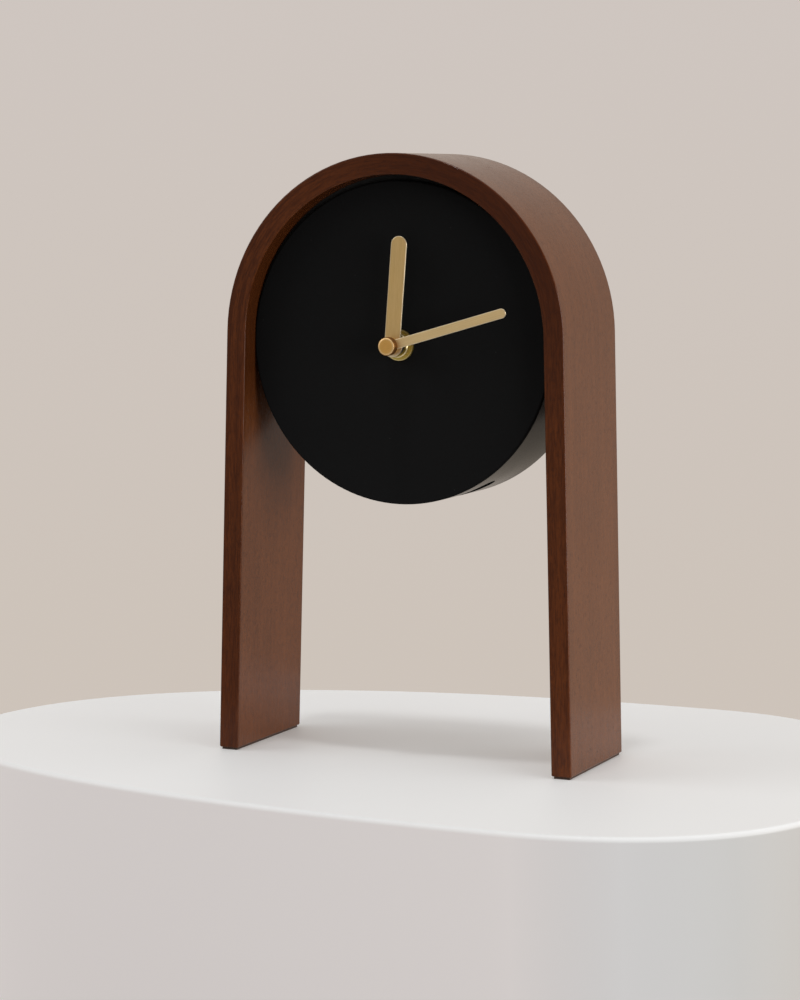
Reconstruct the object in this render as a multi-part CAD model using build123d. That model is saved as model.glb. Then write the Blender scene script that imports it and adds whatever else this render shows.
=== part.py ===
"""Arch table clock: a bent wood arch that holds a black drum with a battery movement.

Frame: +Z up, the dial faces -Y, the origin is at the bottom centre of the whole object. Millimetres.
Depths count backwards (+Y) from the front of the dial, and heights in front of the dial are negative depths.
"""
import math
import os

from build123d import *

# Wood arch
ARCH_OUTER_RADIUS = 80.0
WOOD_THICKNESS = 9.2
ARCH_DEPTH = 63.5
ARCH_CENTRE_HEIGHT = 187.0
LEG_SPLAY = 1.5
WOOD_EDGE_RADIUS = 0.7

# Foot pads
PAD_THICKNESS = 1.0
PAD_INSET = 1.0

# Drum, one pressing whose flat front is the dial
DRUM_FIT_GAP = 0.1
DRUM_DROP = 2.3
DRUM_SHEET = 1.0
DRUM_DEPTH = 47.0
DRUM_EDGE_RADIUS = 0.8
DRUM_INSIDE_RADIUS = 1.0
DIAL_SETBACK = 9.4
SHAFT_DROP = 0.8
SLOT_START = 13.9
SLOT_WIDTH = 12.2
SLOT_HALF_ANGLE = 31.0

# Packing between the drum and the top of the arch
PACKING_HALF_ANGLE = 72.0
PACKING_MARGIN = 2.2
PACKING_GAP = 0.05

# Screws that hold the drum in the arch, at angles from the top
DRUM_SCREW_ANGLES = (-65.0, -25.0, 25.0, 65.0)
DRUM_SCREW_RADIUS = 1.5
DRUM_SCREW_LENGTH = 9.0
DRUM_SCREW_HEAD_RADIUS = 3.0
DRUM_SCREW_HEAD_HEIGHT = 1.8
DRIVE_SLOT_WIDTH = 0.7
DRIVE_SLOT_DEPTH = 0.6

# Clearances
SCREW_CLEARANCE = 0.2
THREAD_GAP = 0.02
RUNNING_GAP = 0.05
SEAT_GAP = 0.08
END_SHAKE = 0.2

# Nut and washer in front of the dial
BUSH_RADIUS = 4.0
BUSH_PROUD = 4.6
WASHER_RADIUS = 6.8
WASHER_THICKNESS = 1.2
NUT_RADIUS = 5.4
NUT_HEIGHT = 2.6
NUT_CHAMFER = 0.4
GASKET_RADIUS = 15.0
GASKET_THICKNESS = 1.0

# Hands and cap, with angles clockwise from twelve
HAND_THICKNESS = 0.6
HAND_EDGE_RADIUS = 0.2
HOUR_HAND_ANGLE = 4.2
HOUR_HAND_LENGTH = 47.6
HOUR_HAND_WIDTH = 7.4
HOUR_HUB_RADIUS = 4.9
HOUR_HAND_HEIGHT = 7.6
HOUR_COLLET_RADIUS = 4.0
HOUR_COLLET_LENGTH = 2.3
MINUTE_HAND_ANGLE = 73.8
MINUTE_HAND_LENGTH = 56.5
MINUTE_HAND_WIDTH = 4.2
MINUTE_HUB_RADIUS = 3.6
MINUTE_HAND_HEIGHT = 10.6
MINUTE_COLLET_RADIUS = 2.6
MINUTE_COLLET_LENGTH = 1.8
CAP_RADIUS = 4.0
CAP_HEIGHT = 3.3
CAP_EDGE_RADIUS = 0.9
CAP_BORE_DEPTH = 2.5

# Shafts on the centre axis
HOUR_PIPE_RADIUS = 2.5
MINUTE_ARBOR_RADIUS = 1.7
MINUTE_TIP_RADIUS = 1.3
CLUTCH_SEAT_RADIUS = 1.2

# Movement case
CASE_SIDE = 56.0
CASE_CORNER_RADIUS = 3.0
CASE_WALL = 1.4
CASE_DEPTH = 16.0
CASE_SPLIT = 9.0
PARTITION_THICKNESS = 1.0
PARTITION_END_GAP = 0.8

# Train: layers of wheels, gears and pivots
WHEEL_THICKNESS = 1.0
LAYER_GAP = 0.5
CLUTCH_SPACE = 1.0
CLUTCH_SPRING_THICKNESS = 0.4
CLUTCH_SPRING_RADIUS = 3.2
PINION_OVERRUN = 0.15
PRESSURE_ANGLE = 25.0
ADDENDUM = 0.85
DEDENDUM = 1.15
BACKLASH = 0.06
FLANK_POINTS = 3
ARBOR_RADIUS = 0.65
PIVOT_RADIUS = 0.45
PIVOT_LENGTH = 0.9
BOSS_RADIUS = 1.5
STUD_RADIUS = 0.75
RIM_WIDTH = 1.3
SPOKE_COUNT = 4
SPOKE_WIDTH = 1.4
WHEEL_HUB_RADIUS = 2.0

PINION_TEETH = 10
ROTOR_FIFTH_TEETH = 60
FIFTH_FOURTH_TEETH = 50
FOURTH_THIRD_TEETH = 75
THIRD_CENTRE_TEETH = 80
CANNON_TEETH = 14
MOTION_WHEEL_TEETH = 42
MOTION_PINION_TEETH = 14
HOUR_WHEEL_TEETH = 56

MOTION_DISTANCE = 8.4
THIRD_DISTANCE = 10.2
FIFTH_DISTANCE = 10.4
ROTOR_DISTANCE = 7.7
MOTION_DIRECTION = -20.0
SETTING_DIRECTION = 20.0
THIRD_DIRECTION = 150.0
FIFTH_DIRECTION = 60.0
ROTOR_DIRECTION = 20.0

# Setting arbor and knob
SETTING_ARBOR_RADIUS = 1.4
KNOB_RADIUS = 6.5
KNOB_HEIGHT = 4.0
KNOB_GAP = 0.4
KNOB_FLUTES = 24
KNOB_FLUTE_RADIUS = 0.5
KNOB_HUB_RADIUS = 3.0
KNOB_DISH = 1.0

# Motor
MAGNET_RADIUS = 3.0
MAGNET_OVERHANG = 0.3
STATOR_THICKNESS = 1.0
STATOR_BAR_WIDTH = 11.0
STATOR_ARM_WIDTH = 3.6
STATOR_AIR_GAP = 0.4
STATOR_FOOT = 6.0
STATOR_TOP = 24.4
CORE_WIDTH = 4.0
CORE_THICKNESS = 1.0
COIL_RADIUS = 3.2
BOBBIN_WALL = 0.5
BOBBIN_FLANGE = 0.8
COIL_END_GAP = 0.4
CORE_INSET = 4.1

# Train plate, circuit and small screws
PLATE_THICKNESS = 1.2
POST_RADIUS = 1.6
SMALL_SCREW_RADIUS = 0.8
SMALL_SCREW_HEAD_RADIUS = 1.5
SMALL_SCREW_HEAD_HEIGHT = 0.8
SMALL_SCREW_GRIP = 3.0
BOARD_THICKNESS = 1.0
BOARD_LEFT = -22.0
BOARD_RIGHT = 17.8
BOARD_BOTTOM = 16.6
BOARD_TOP = 26.0
BOARD_PIN_RADIUS = 0.9
CHIP_RADIUS = 2.6
CHIP_HEIGHT = 1.0
CHIP_PLACE = (-6.0, 21.3)
CRYSTAL_RADIUS = 1.0
CRYSTAL_LENGTH = 6.0
CRYSTAL_PLACE = (-14.0, 21.3)
BOARD_PIN_PLACES = ((-19.5, 20.0), (3.0, 21.0))
PLATE_POST_PLACES = ((-19.5, -6.5), (20.0, -7.0), (-4.0, 14.8))
CASE_POST_PLACES = ((-23.6, -7.5), (-23.6, 10.0), (24.0, -7.5))

# Cell, size AA, and its contacts
CELL_RADIUS = 7.1
CELL_LENGTH = 49.5
CELL_NUB_RADIUS = 2.7
CELL_NUB_HEIGHT = 1.0
CELL_EDGE_RADIUS = 0.6
CELL_SIDE_GAP = 0.4
CONTACT_THICKNESS = 0.3
CONTACT_WALL_GAP = 0.1
CONTACT_HEIGHT = 10.0
CONTACT_STRIP_WIDTH = 3.0
CONTACT_TAB_HEIGHT = 2.8
CONTACT_TAB_REACH = 2.6
CONTACT_LEAF_WIDTH = 6.0
CONTACT_TOP_GAP = 0.6

# Places worked out from the sizes above
ARCH_INNER_RADIUS = ARCH_OUTER_RADIUS - WOOD_THICKNESS
SPLAY = math.radians(LEG_SPLAY)
DRUM_RADIUS = ARCH_INNER_RADIUS - DRUM_FIT_GAP
DRUM_INNER_RADIUS = DRUM_RADIUS - DRUM_SHEET
DRUM_HEIGHT = ARCH_CENTRE_HEIGHT - DRUM_DROP
SHAFT_HEIGHT = DRUM_HEIGHT - SHAFT_DROP
DRUM_PLACE = (0.0, SHAFT_DROP)
CAP_FRONT = MINUTE_HAND_HEIGHT + HAND_THICKNESS + CAP_HEIGHT
CAP_PROUD = CAP_FRONT - DIAL_SETBACK
ARCH_FRONT = (ARCH_DEPTH + CAP_PROUD) / 2 - ARCH_DEPTH
DIAL_FRONT = ARCH_FRONT + DIAL_SETBACK

CASE_FRONT = DRUM_SHEET + GASKET_THICKNESS
CAVITY_FRONT = CASE_FRONT + CASE_WALL
CASE_JOIN = CASE_FRONT + CASE_SPLIT
CASE_BACK = CASE_FRONT + CASE_DEPTH
CAVITY_BACK = CASE_BACK - CASE_WALL
CASE_HALF = CASE_SIDE / 2
ROOM_HALF = CASE_HALF - CASE_WALL

HOUR_LAYER = CAVITY_FRONT + END_SHAKE
MOTION_LAYER = HOUR_LAYER + WHEEL_THICKNESS + LAYER_GAP
CENTRE_LAYER = MOTION_LAYER + WHEEL_THICKNESS + CLUTCH_SPACE
THIRD_LAYER = CENTRE_LAYER + WHEEL_THICKNESS + LAYER_GAP
FOURTH_LAYER = THIRD_LAYER + WHEEL_THICKNESS + LAYER_GAP
FIFTH_LAYER = FOURTH_LAYER + WHEEL_THICKNESS + LAYER_GAP
PLATE_FRONT = FIFTH_LAYER + WHEEL_THICKNESS + LAYER_GAP
PLATE_BACK = PLATE_FRONT + PLATE_THICKNESS

CELL_CENTRE = -ROOM_HALF + CELL_SIDE_GAP + CELL_RADIUS
CELL_DEPTH = CAVITY_FRONT + CELL_SIDE_GAP + CELL_RADIUS
BAY_TOP = CELL_CENTRE + CELL_RADIUS + CELL_SIDE_GAP
CONTACT_FACE = ROOM_HALF - CONTACT_WALL_GAP - CONTACT_THICKNESS
CELL_RIGHT = CONTACT_FACE - CELL_NUB_HEIGHT
CELL_LEFT = CELL_RIGHT - CELL_LENGTH

STATOR_BACK = THIRD_LAYER + STATOR_THICKNESS
CORE_BACK = STATOR_BACK + CORE_THICKNESS
CORE_DEPTH = STATOR_BACK + CORE_THICKNESS / 2
CORE_CENTRE = ROOM_HALF - CORE_INSET
BOARD_FRONT = FIFTH_LAYER + LAYER_GAP
BOARD_BACK = BOARD_FRONT + BOARD_THICKNESS


def polar(distance, direction, start=(0.0, 0.0)):
    """Point at a distance and direction (degrees) from a start point."""
    angle = math.radians(direction)
    return (start[0] + distance * math.cos(angle), start[1] + distance * math.sin(angle))


MOTION_AXIS = polar(MOTION_DISTANCE, MOTION_DIRECTION)
SETTING_AXIS = polar(MOTION_DISTANCE, SETTING_DIRECTION, MOTION_AXIS)
THIRD_AXIS = polar(THIRD_DISTANCE, THIRD_DIRECTION)
FIFTH_AXIS = polar(FIFTH_DISTANCE, FIFTH_DIRECTION)
ROTOR_AXIS = polar(ROTOR_DISTANCE, ROTOR_DIRECTION, FIFTH_AXIS)

CANNON_MODULE = 2 * MOTION_DISTANCE / (CANNON_TEETH + MOTION_WHEEL_TEETH)
HOUR_MODULE = 2 * MOTION_DISTANCE / (MOTION_PINION_TEETH + HOUR_WHEEL_TEETH)
CENTRE_MODULE = 2 * THIRD_DISTANCE / (PINION_TEETH + THIRD_CENTRE_TEETH)
THIRD_MODULE = 2 * THIRD_DISTANCE / (PINION_TEETH + FOURTH_THIRD_TEETH)
FOURTH_MODULE = 2 * FIFTH_DISTANCE / (PINION_TEETH + FIFTH_FOURTH_TEETH)
FIFTH_MODULE = 2 * ROTOR_DISTANCE / (PINION_TEETH + ROTOR_FIFTH_TEETH)


def view_plane(depth):
    """Front view plane, centred on the shaft, at a depth behind the dial's front."""
    return Plane(origin=(0, DIAL_FRONT + depth, SHAFT_HEIGHT), x_dir=(1, 0, 0), z_dir=(0, -1, 0))


def prism(sketch, front, back):
    """Front view sketch made solid from one depth to another."""
    return extrude(view_plane(back) * sketch, amount=back - front)


def rod(radius, front, back, place=(0.0, 0.0)):
    """Round bar along the depth."""
    return prism(Pos(*place) * Circle(radius), front, back)


def tube(outer, inner, front, back, place=(0.0, 0.0)):
    """Round tube along the depth."""
    return prism(Pos(*place) * (Circle(outer) - Circle(inner)), front, back)


def block(left, right, bottom, top, front, back):
    """Box given by its sides in the front view and its depths."""
    middle = Pos((left + right) / 2, (bottom + top) / 2)
    return prism(middle * Rectangle(right - left, top - bottom), front, back)


def radial_rod(radius, inner, outer, angle, depth):
    """Round bar along a radius of the drum, at an angle from the top."""
    turn = math.radians(angle)
    direction = (math.sin(turn), 0, math.cos(turn))
    start = (inner * direction[0], DIAL_FRONT + depth, DRUM_HEIGHT + inner * direction[2])
    return extrude(Plane(origin=start, z_dir=direction) * Circle(radius), amount=outer - inner)


def tooth_angle(teeth, module, radius):
    """Half angle of an involute tooth at a radius."""
    pitch = module * teeth / 2
    base = pitch * math.cos(math.radians(PRESSURE_ANGLE))
    at_pitch = math.pi / (2 * teeth) - BACKLASH * module / pitch
    pitch_lean = math.tan(math.radians(PRESSURE_ANGLE)) - math.radians(PRESSURE_ANGLE)
    lean = math.acos(min(1.0, base / radius))
    return at_pitch + pitch_lean - (math.tan(lean) - lean)


def gear(teeth, module, phase=0.0):
    """Involute gear outline whose first tooth points along the phase angle, in degrees."""
    pitch = module * teeth / 2
    base = pitch * math.cos(math.radians(PRESSURE_ANGLE))
    root = pitch - DEDENDUM * module
    tip = pitch + ADDENDUM * module
    start = max(base, root)
    flank = [start + (tip - start) * step / (FLANK_POINTS - 1) for step in range(FLANK_POINTS)]
    radii = ([root] if root < start else []) + flank
    side = [(radius, tooth_angle(teeth, module, max(radius, start))) for radius in radii]
    points = []
    for tooth in range(teeth):
        middle = math.radians(phase) + 2 * math.pi * tooth / teeth
        rising = [(radius, middle - half) for radius, half in side]
        falling = [(radius, middle + half) for radius, half in reversed(side)]
        points += [(radius * math.cos(a), radius * math.sin(a)) for radius, a in rising + falling]
    return make_face(Polyline(*points, close=True))


def meshed_phase(phase, teeth, direction, other_teeth):
    """Phase of the gear that meshes with a gear of known phase, in the direction of its axis."""
    return direction + 180 + 180 / other_teeth - (phase - direction) * teeth / other_teeth


def spoked(outline, teeth, module):
    """Gear outline with openings between its spokes."""
    rim = module * (teeth / 2 - DEDENDUM) - RIM_WIDTH
    window = Circle(rim) - Circle(WHEEL_HUB_RADIUS)
    for spoke in range(SPOKE_COUNT):
        window -= Rot(0, 0, 360 / SPOKE_COUNT * spoke) * Pos(rim / 2, 0) * Rectangle(rim, SPOKE_WIDTH)
    return outline - window


def leg_x(radius, height):
    """Half width of a leg's face that is tangent to the arch at a radius."""
    return (radius + (ARCH_CENTRE_HEIGHT - height) * math.sin(SPLAY)) / math.cos(SPLAY)


def leg_line(radius, side):
    """Straight face of a leg, from the arch's bend to its foot."""
    bend = (side * radius * math.cos(SPLAY), ARCH_CENTRE_HEIGHT + radius * math.sin(SPLAY))
    return Line(bend, (side * leg_x(radius, PAD_THICKNESS), PAD_THICKNESS))


def bend_arc(radius):
    """Round bend of the arch."""
    return CenterArc((0, ARCH_CENTRE_HEIGHT), radius, LEG_SPLAY, 180 - 2 * LEG_SPLAY)


def foot_line(side):
    """Cut end of a leg."""
    inner = side * leg_x(ARCH_INNER_RADIUS, PAD_THICKNESS)
    outer = side * leg_x(ARCH_OUTER_RADIUS, PAD_THICKNESS)
    return Line((inner, PAD_THICKNESS), (outer, PAD_THICKNESS))


def make_arch():
    """Bent strip of wood with pilot holes for the drum's screws."""
    edges = [bend_arc(radius) for radius in (ARCH_OUTER_RADIUS, ARCH_INNER_RADIUS)]
    for side in (-1, 1):
        edges += [leg_line(ARCH_OUTER_RADIUS, side), leg_line(ARCH_INNER_RADIUS, side), foot_line(side)]
    back = Plane(origin=(0, ARCH_FRONT + ARCH_DEPTH, 0), x_dir=(1, 0, 0), z_dir=(0, -1, 0))
    arch = extrude(back * make_face(edges), amount=ARCH_DEPTH)
    faces = arch.faces().sort_by(Axis.Y)
    foot_edges = arch.edges().filter_by(Axis.Y).group_by(Axis.Z)[0]
    arch = fillet(faces[0].edges() + faces[-1].edges() + foot_edges, WOOD_EDGE_RADIUS)
    for angle in DRUM_SCREW_ANGLES:
        reach = DRUM_INNER_RADIUS + DRUM_SCREW_LENGTH + THREAD_GAP
        arch -= radial_rod(DRUM_SCREW_RADIUS + THREAD_GAP, DRUM_INNER_RADIUS, reach, angle, DRUM_DEPTH / 2)
    return arch


def make_foot_pad(side):
    """Thin pad under one foot."""
    inner = leg_x(ARCH_INNER_RADIUS, PAD_THICKNESS) + PAD_INSET
    outer = leg_x(ARCH_OUTER_RADIUS, PAD_THICKNESS) - PAD_INSET
    pad = Box(outer - inner, ARCH_DEPTH - 2 * PAD_INSET, PAD_THICKNESS)
    return Pos(side * (inner + outer) / 2, ARCH_FRONT + ARCH_DEPTH / 2, PAD_THICKNESS / 2) * pad


def make_drum():
    """Pressed drum: flat dial, round wall, open back and a slot low in the wall."""
    drum = rod(DRUM_RADIUS, 0, DRUM_DEPTH, DRUM_PLACE)
    drum = fillet(drum.faces().sort_by(Axis.Y)[0].edges(), DRUM_EDGE_RADIUS)
    room = rod(DRUM_INNER_RADIUS, DRUM_SHEET, DRUM_DEPTH, DRUM_PLACE)
    drum -= fillet(room.faces().sort_by(Axis.Y)[0].edges(), DRUM_INSIDE_RADIUS)
    drum -= rod(BUSH_RADIUS + SCREW_CLEARANCE, 0, DRUM_SHEET)
    end_radius = SLOT_WIDTH / 2
    straight = SLOT_HALF_ANGLE - math.degrees(end_radius / DRUM_RADIUS)
    middle = SLOT_START + end_radius
    inside = DRUM_INNER_RADIUS - DRUM_SHEET
    outside = DRUM_RADIUS + DRUM_SHEET
    reach = outside / math.cos(math.radians(straight))
    wedge = Polyline((0, 0), polar(reach, -90 - straight), polar(reach, -90 + straight), close=True)
    sector = make_face(wedge) - Circle(inside)
    drum -= prism(Pos(*DRUM_PLACE) * sector, SLOT_START, SLOT_START + SLOT_WIDTH)
    for side in (-1, 1):
        drum -= radial_rod(end_radius, inside, outside, 180 + side * straight, middle)
    for angle in DRUM_SCREW_ANGLES:
        hole = DRUM_SCREW_RADIUS + SCREW_CLEARANCE
        drum -= radial_rod(hole, inside, outside, angle, DRUM_DEPTH / 2)
    return drum


def make_packing():
    """Felt strip that fills the crescent between the drum and the top of the arch."""
    reach = 2 * ARCH_OUTER_RADIUS
    wedge = make_face(Polyline((0, 0), polar(reach, 90 - PACKING_HALF_ANGLE), (0, reach),
                               polar(reach, 90 + PACKING_HALF_ANGLE), close=True))
    crescent = Pos(0, DRUM_DROP) * Circle(ARCH_INNER_RADIUS - PACKING_GAP)
    crescent = (crescent - Circle(DRUM_RADIUS + PACKING_GAP)) & wedge
    packing = prism(Pos(*DRUM_PLACE) * crescent, PACKING_MARGIN, DRUM_DEPTH - PACKING_MARGIN)
    for angle in DRUM_SCREW_ANGLES:
        hole = DRUM_SCREW_RADIUS + SCREW_CLEARANCE
        packing -= radial_rod(hole, DRUM_RADIUS, ARCH_OUTER_RADIUS, angle, DRUM_DEPTH / 2)
    return packing


def make_drum_screws():
    """Pan-head screws from inside the drum into the wood."""
    screws = []
    for angle in DRUM_SCREW_ANGLES:
        seat = DRUM_INNER_RADIUS - SEAT_GAP
        head_top = seat - DRUM_SCREW_HEAD_HEIGHT
        head = radial_rod(DRUM_SCREW_HEAD_RADIUS, head_top, seat, angle, DRUM_DEPTH / 2)
        head = fillet(head.edges().sort_by(lambda edge: (edge.center() - Vector(0, 0, DRUM_HEIGHT)).length)[0],
                      DRUM_SCREW_HEAD_HEIGHT / 3)
        tip = DRUM_INNER_RADIUS + DRUM_SCREW_LENGTH
        screw = head + radial_rod(DRUM_SCREW_RADIUS, seat, tip, angle, DRUM_DEPTH / 2)
        groove = Box(2 * DRUM_SCREW_HEAD_RADIUS, DRIVE_SLOT_WIDTH, DRIVE_SLOT_DEPTH)
        cross = groove + Rot(0, 0, 90) * groove
        turn = math.radians(angle)
        direction = (math.sin(turn), 0, math.cos(turn))
        middle = head_top + DRIVE_SLOT_DEPTH / 2
        place = (middle * direction[0], DIAL_FRONT + DRUM_DEPTH / 2, DRUM_HEIGHT + middle * direction[2])
        screws.append(screw - Plane(origin=place, z_dir=direction) * cross)
    return Compound(children=screws)


def make_dial_washer():
    """Flange washer on the dial."""
    return tube(WASHER_RADIUS, BUSH_RADIUS + SCREW_CLEARANCE, -WASHER_THICKNESS, 0)


def make_dial_nut():
    """Round nut that clamps the movement to the dial."""
    nut = tube(NUT_RADIUS, BUSH_RADIUS + THREAD_GAP, -WASHER_THICKNESS - NUT_HEIGHT, -WASHER_THICKNESS)
    rim = nut.faces().sort_by(Axis.Y)[0].edges().sort_by(SortBy.LENGTH)[-1]
    return chamfer(rim, NUT_CHAMFER)


def make_gasket():
    """Rubber ring between the dial and the movement."""
    return tube(GASKET_RADIUS, BUSH_RADIUS + SCREW_CLEARANCE, DRUM_SHEET, CASE_FRONT)


def blade(length, width, hub, hole, angle):
    """Flat hand outline with a round hub and a round tip."""
    arm = Pos(0, (length - width / 2) / 2) * Rectangle(width, length - width / 2)
    outline = arm + Circle(hub) + Pos(0, length - width / 2) * Circle(width / 2) - Circle(hole)
    return Rot(0, 0, -angle) * outline


def make_hand(length, width, hub, hole, angle, height, collet, collet_length, collet_bore):
    """Hand with the collet that grips its shaft."""
    outline = blade(length, width, hub, hole, angle)
    hand = prism(outline, -height - HAND_THICKNESS, -height)
    hand = fillet(hand.faces().sort_by(Axis.Y)[0].outer_wire().edges(), HAND_EDGE_RADIUS)
    return hand + tube(collet, collet_bore, -height, -height + collet_length)


def make_hour_hand():
    """Wide hand on the hour pipe."""
    bore = HOUR_PIPE_RADIUS + THREAD_GAP
    return make_hand(HOUR_HAND_LENGTH, HOUR_HAND_WIDTH, HOUR_HUB_RADIUS, bore, HOUR_HAND_ANGLE,
                     HOUR_HAND_HEIGHT, HOUR_COLLET_RADIUS, HOUR_COLLET_LENGTH, bore)


def make_minute_hand():
    """Narrow hand clamped on the minute arbor's shoulder."""
    return make_hand(MINUTE_HAND_LENGTH, MINUTE_HAND_WIDTH, MINUTE_HUB_RADIUS, MINUTE_TIP_RADIUS + THREAD_GAP,
                     MINUTE_HAND_ANGLE, MINUTE_HAND_HEIGHT, MINUTE_COLLET_RADIUS, MINUTE_COLLET_LENGTH,
                     MINUTE_ARBOR_RADIUS + THREAD_GAP)


def make_cap_nut():
    """Round cap screwed on the end of the minute arbor."""
    base = MINUTE_HAND_HEIGHT + HAND_THICKNESS
    cap = rod(CAP_RADIUS, -CAP_FRONT, -base)
    cap = fillet(cap.faces().sort_by(Axis.Y)[0].edges(), CAP_EDGE_RADIUS)
    return cap - rod(MINUTE_TIP_RADIUS + THREAD_GAP, -base - CAP_BORE_DEPTH, -base)


CANNON_PHASE = 0.0
MOTION_PHASE = meshed_phase(CANNON_PHASE, CANNON_TEETH, MOTION_DIRECTION, MOTION_WHEEL_TEETH)
SETTING_PHASE = meshed_phase(MOTION_PHASE, MOTION_WHEEL_TEETH, SETTING_DIRECTION, CANNON_TEETH)
HOUR_PHASE = meshed_phase(0.0, MOTION_PINION_TEETH, MOTION_DIRECTION + 180, HOUR_WHEEL_TEETH)
THIRD_PHASE = meshed_phase(0.0, PINION_TEETH, THIRD_DIRECTION, FOURTH_THIRD_TEETH)
CENTRE_PHASE = meshed_phase(0.0, PINION_TEETH, THIRD_DIRECTION + 180, THIRD_CENTRE_TEETH)
FOURTH_PHASE = meshed_phase(0.0, PINION_TEETH, FIFTH_DIRECTION + 180, FIFTH_FOURTH_TEETH)
FIFTH_PHASE = meshed_phase(0.0, PINION_TEETH, ROTOR_DIRECTION + 180, ROTOR_FIFTH_TEETH)


def make_minute_arbor():
    """Arbor of the minute hand, with the cannon pinion and the seat of the slip clutch."""
    arbor = rod(MINUTE_ARBOR_RADIUS, -MINUTE_HAND_HEIGHT, MOTION_LAYER)
    tip = MINUTE_HAND_HEIGHT + HAND_THICKNESS + CAP_BORE_DEPTH - END_SHAKE
    arbor += rod(MINUTE_TIP_RADIUS, -tip, -MINUTE_HAND_HEIGHT)
    pinion_front = MOTION_LAYER - PINION_OVERRUN
    pinion_back = MOTION_LAYER + WHEEL_THICKNESS + PINION_OVERRUN
    arbor += prism(gear(CANNON_TEETH, CANNON_MODULE, CANNON_PHASE), pinion_front, pinion_back)
    arbor += rod(CLUTCH_SEAT_RADIUS, pinion_back, CENTRE_LAYER + WHEEL_THICKNESS)
    bore_end = CENTRE_LAYER + WHEEL_THICKNESS
    return arbor - rod(PIVOT_RADIUS + RUNNING_GAP, bore_end - PIVOT_LENGTH - END_SHAKE, bore_end)


def make_clutch_spring():
    """Dished washer that presses the centre wheel against the minute arbor."""
    front = CENTRE_LAYER - CLUTCH_SPRING_THICKNESS - RUNNING_GAP
    spring = tube(CLUTCH_SPRING_RADIUS, CLUTCH_SEAT_RADIUS + THREAD_GAP, front, front + CLUTCH_SPRING_THICKNESS)
    return spring


def make_hour_wheel():
    """Hour wheel with the pipe that carries the hour hand."""
    outline = gear(HOUR_WHEEL_TEETH, HOUR_MODULE, HOUR_PHASE)
    wheel = prism(outline, HOUR_LAYER, HOUR_LAYER + WHEEL_THICKNESS)
    wheel += rod(HOUR_PIPE_RADIUS, -HOUR_HAND_HEIGHT - HAND_THICKNESS, HOUR_LAYER)
    bore = MINUTE_ARBOR_RADIUS + RUNNING_GAP
    return wheel - rod(bore, -CAP_FRONT, HOUR_LAYER + WHEEL_THICKNESS)


def make_motion_wheel():
    """Wheel and pinion that turn the hour wheel from the cannon pinion."""
    outline = Pos(*MOTION_AXIS) * gear(MOTION_WHEEL_TEETH, CANNON_MODULE, MOTION_PHASE)
    wheel = prism(outline, MOTION_LAYER, MOTION_LAYER + WHEEL_THICKNESS)
    pinion = Pos(*MOTION_AXIS) * gear(MOTION_PINION_TEETH, HOUR_MODULE)
    wheel += prism(pinion, HOUR_LAYER - PINION_OVERRUN, MOTION_LAYER)
    return wheel - rod(STUD_RADIUS + RUNNING_GAP, CAVITY_FRONT, CENTRE_LAYER, MOTION_AXIS)


def pivoted(front_face, back_face, place):
    """Plain arbor with a thinner pivot at each end, between two bearing faces."""
    arbor = rod(ARBOR_RADIUS, front_face + END_SHAKE / 2, back_face - END_SHAKE / 2, place)
    return arbor + rod(PIVOT_RADIUS, front_face - PIVOT_LENGTH, back_face + PIVOT_LENGTH, place)


def bearing_face(layer):
    """Depth of a bearing boss's face in front of a layer."""
    return layer - PINION_OVERRUN - LAYER_GAP


FIFTH_BEARING = bearing_face(CENTRE_LAYER)
THIRD_BEARING = bearing_face(CENTRE_LAYER)
ROTOR_BEARING = bearing_face(THIRD_LAYER - MAGNET_OVERHANG)
SETTING_BEARING = bearing_face(MOTION_LAYER)


def make_centre_wheel():
    """Wheel that turns once an hour and drives the minute arbor through the slip clutch."""
    outline = spoked(gear(THIRD_CENTRE_TEETH, CENTRE_MODULE, CENTRE_PHASE), THIRD_CENTRE_TEETH, CENTRE_MODULE)
    wheel = prism(outline, CENTRE_LAYER, CENTRE_LAYER + WHEEL_THICKNESS)
    return wheel - rod(CLUTCH_SEAT_RADIUS + RUNNING_GAP, CENTRE_LAYER, CENTRE_LAYER + WHEEL_THICKNESS)


def make_third_wheel():
    """Third wheel and its pinion."""
    outline = spoked(gear(FOURTH_THIRD_TEETH, THIRD_MODULE, THIRD_PHASE), FOURTH_THIRD_TEETH, THIRD_MODULE)
    wheel = prism(Pos(*THIRD_AXIS) * outline, THIRD_LAYER, THIRD_LAYER + WHEEL_THICKNESS)
    pinion = Pos(*THIRD_AXIS) * gear(PINION_TEETH, CENTRE_MODULE)
    wheel += prism(pinion, CENTRE_LAYER - PINION_OVERRUN, THIRD_LAYER)
    return wheel + pivoted(THIRD_BEARING, PLATE_FRONT, THIRD_AXIS)


def make_fourth_wheel():
    """Fourth wheel, once a minute, with its pinion; its front pivot runs in the minute arbor."""
    outline = spoked(gear(FIFTH_FOURTH_TEETH, FOURTH_MODULE, FOURTH_PHASE), FIFTH_FOURTH_TEETH, FOURTH_MODULE)
    wheel = prism(outline, FOURTH_LAYER, FOURTH_LAYER + WHEEL_THICKNESS)
    wheel += prism(gear(PINION_TEETH, THIRD_MODULE), THIRD_LAYER - PINION_OVERRUN, FOURTH_LAYER)
    return wheel + pivoted(CENTRE_LAYER + WHEEL_THICKNESS, PLATE_FRONT, (0.0, 0.0))


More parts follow.
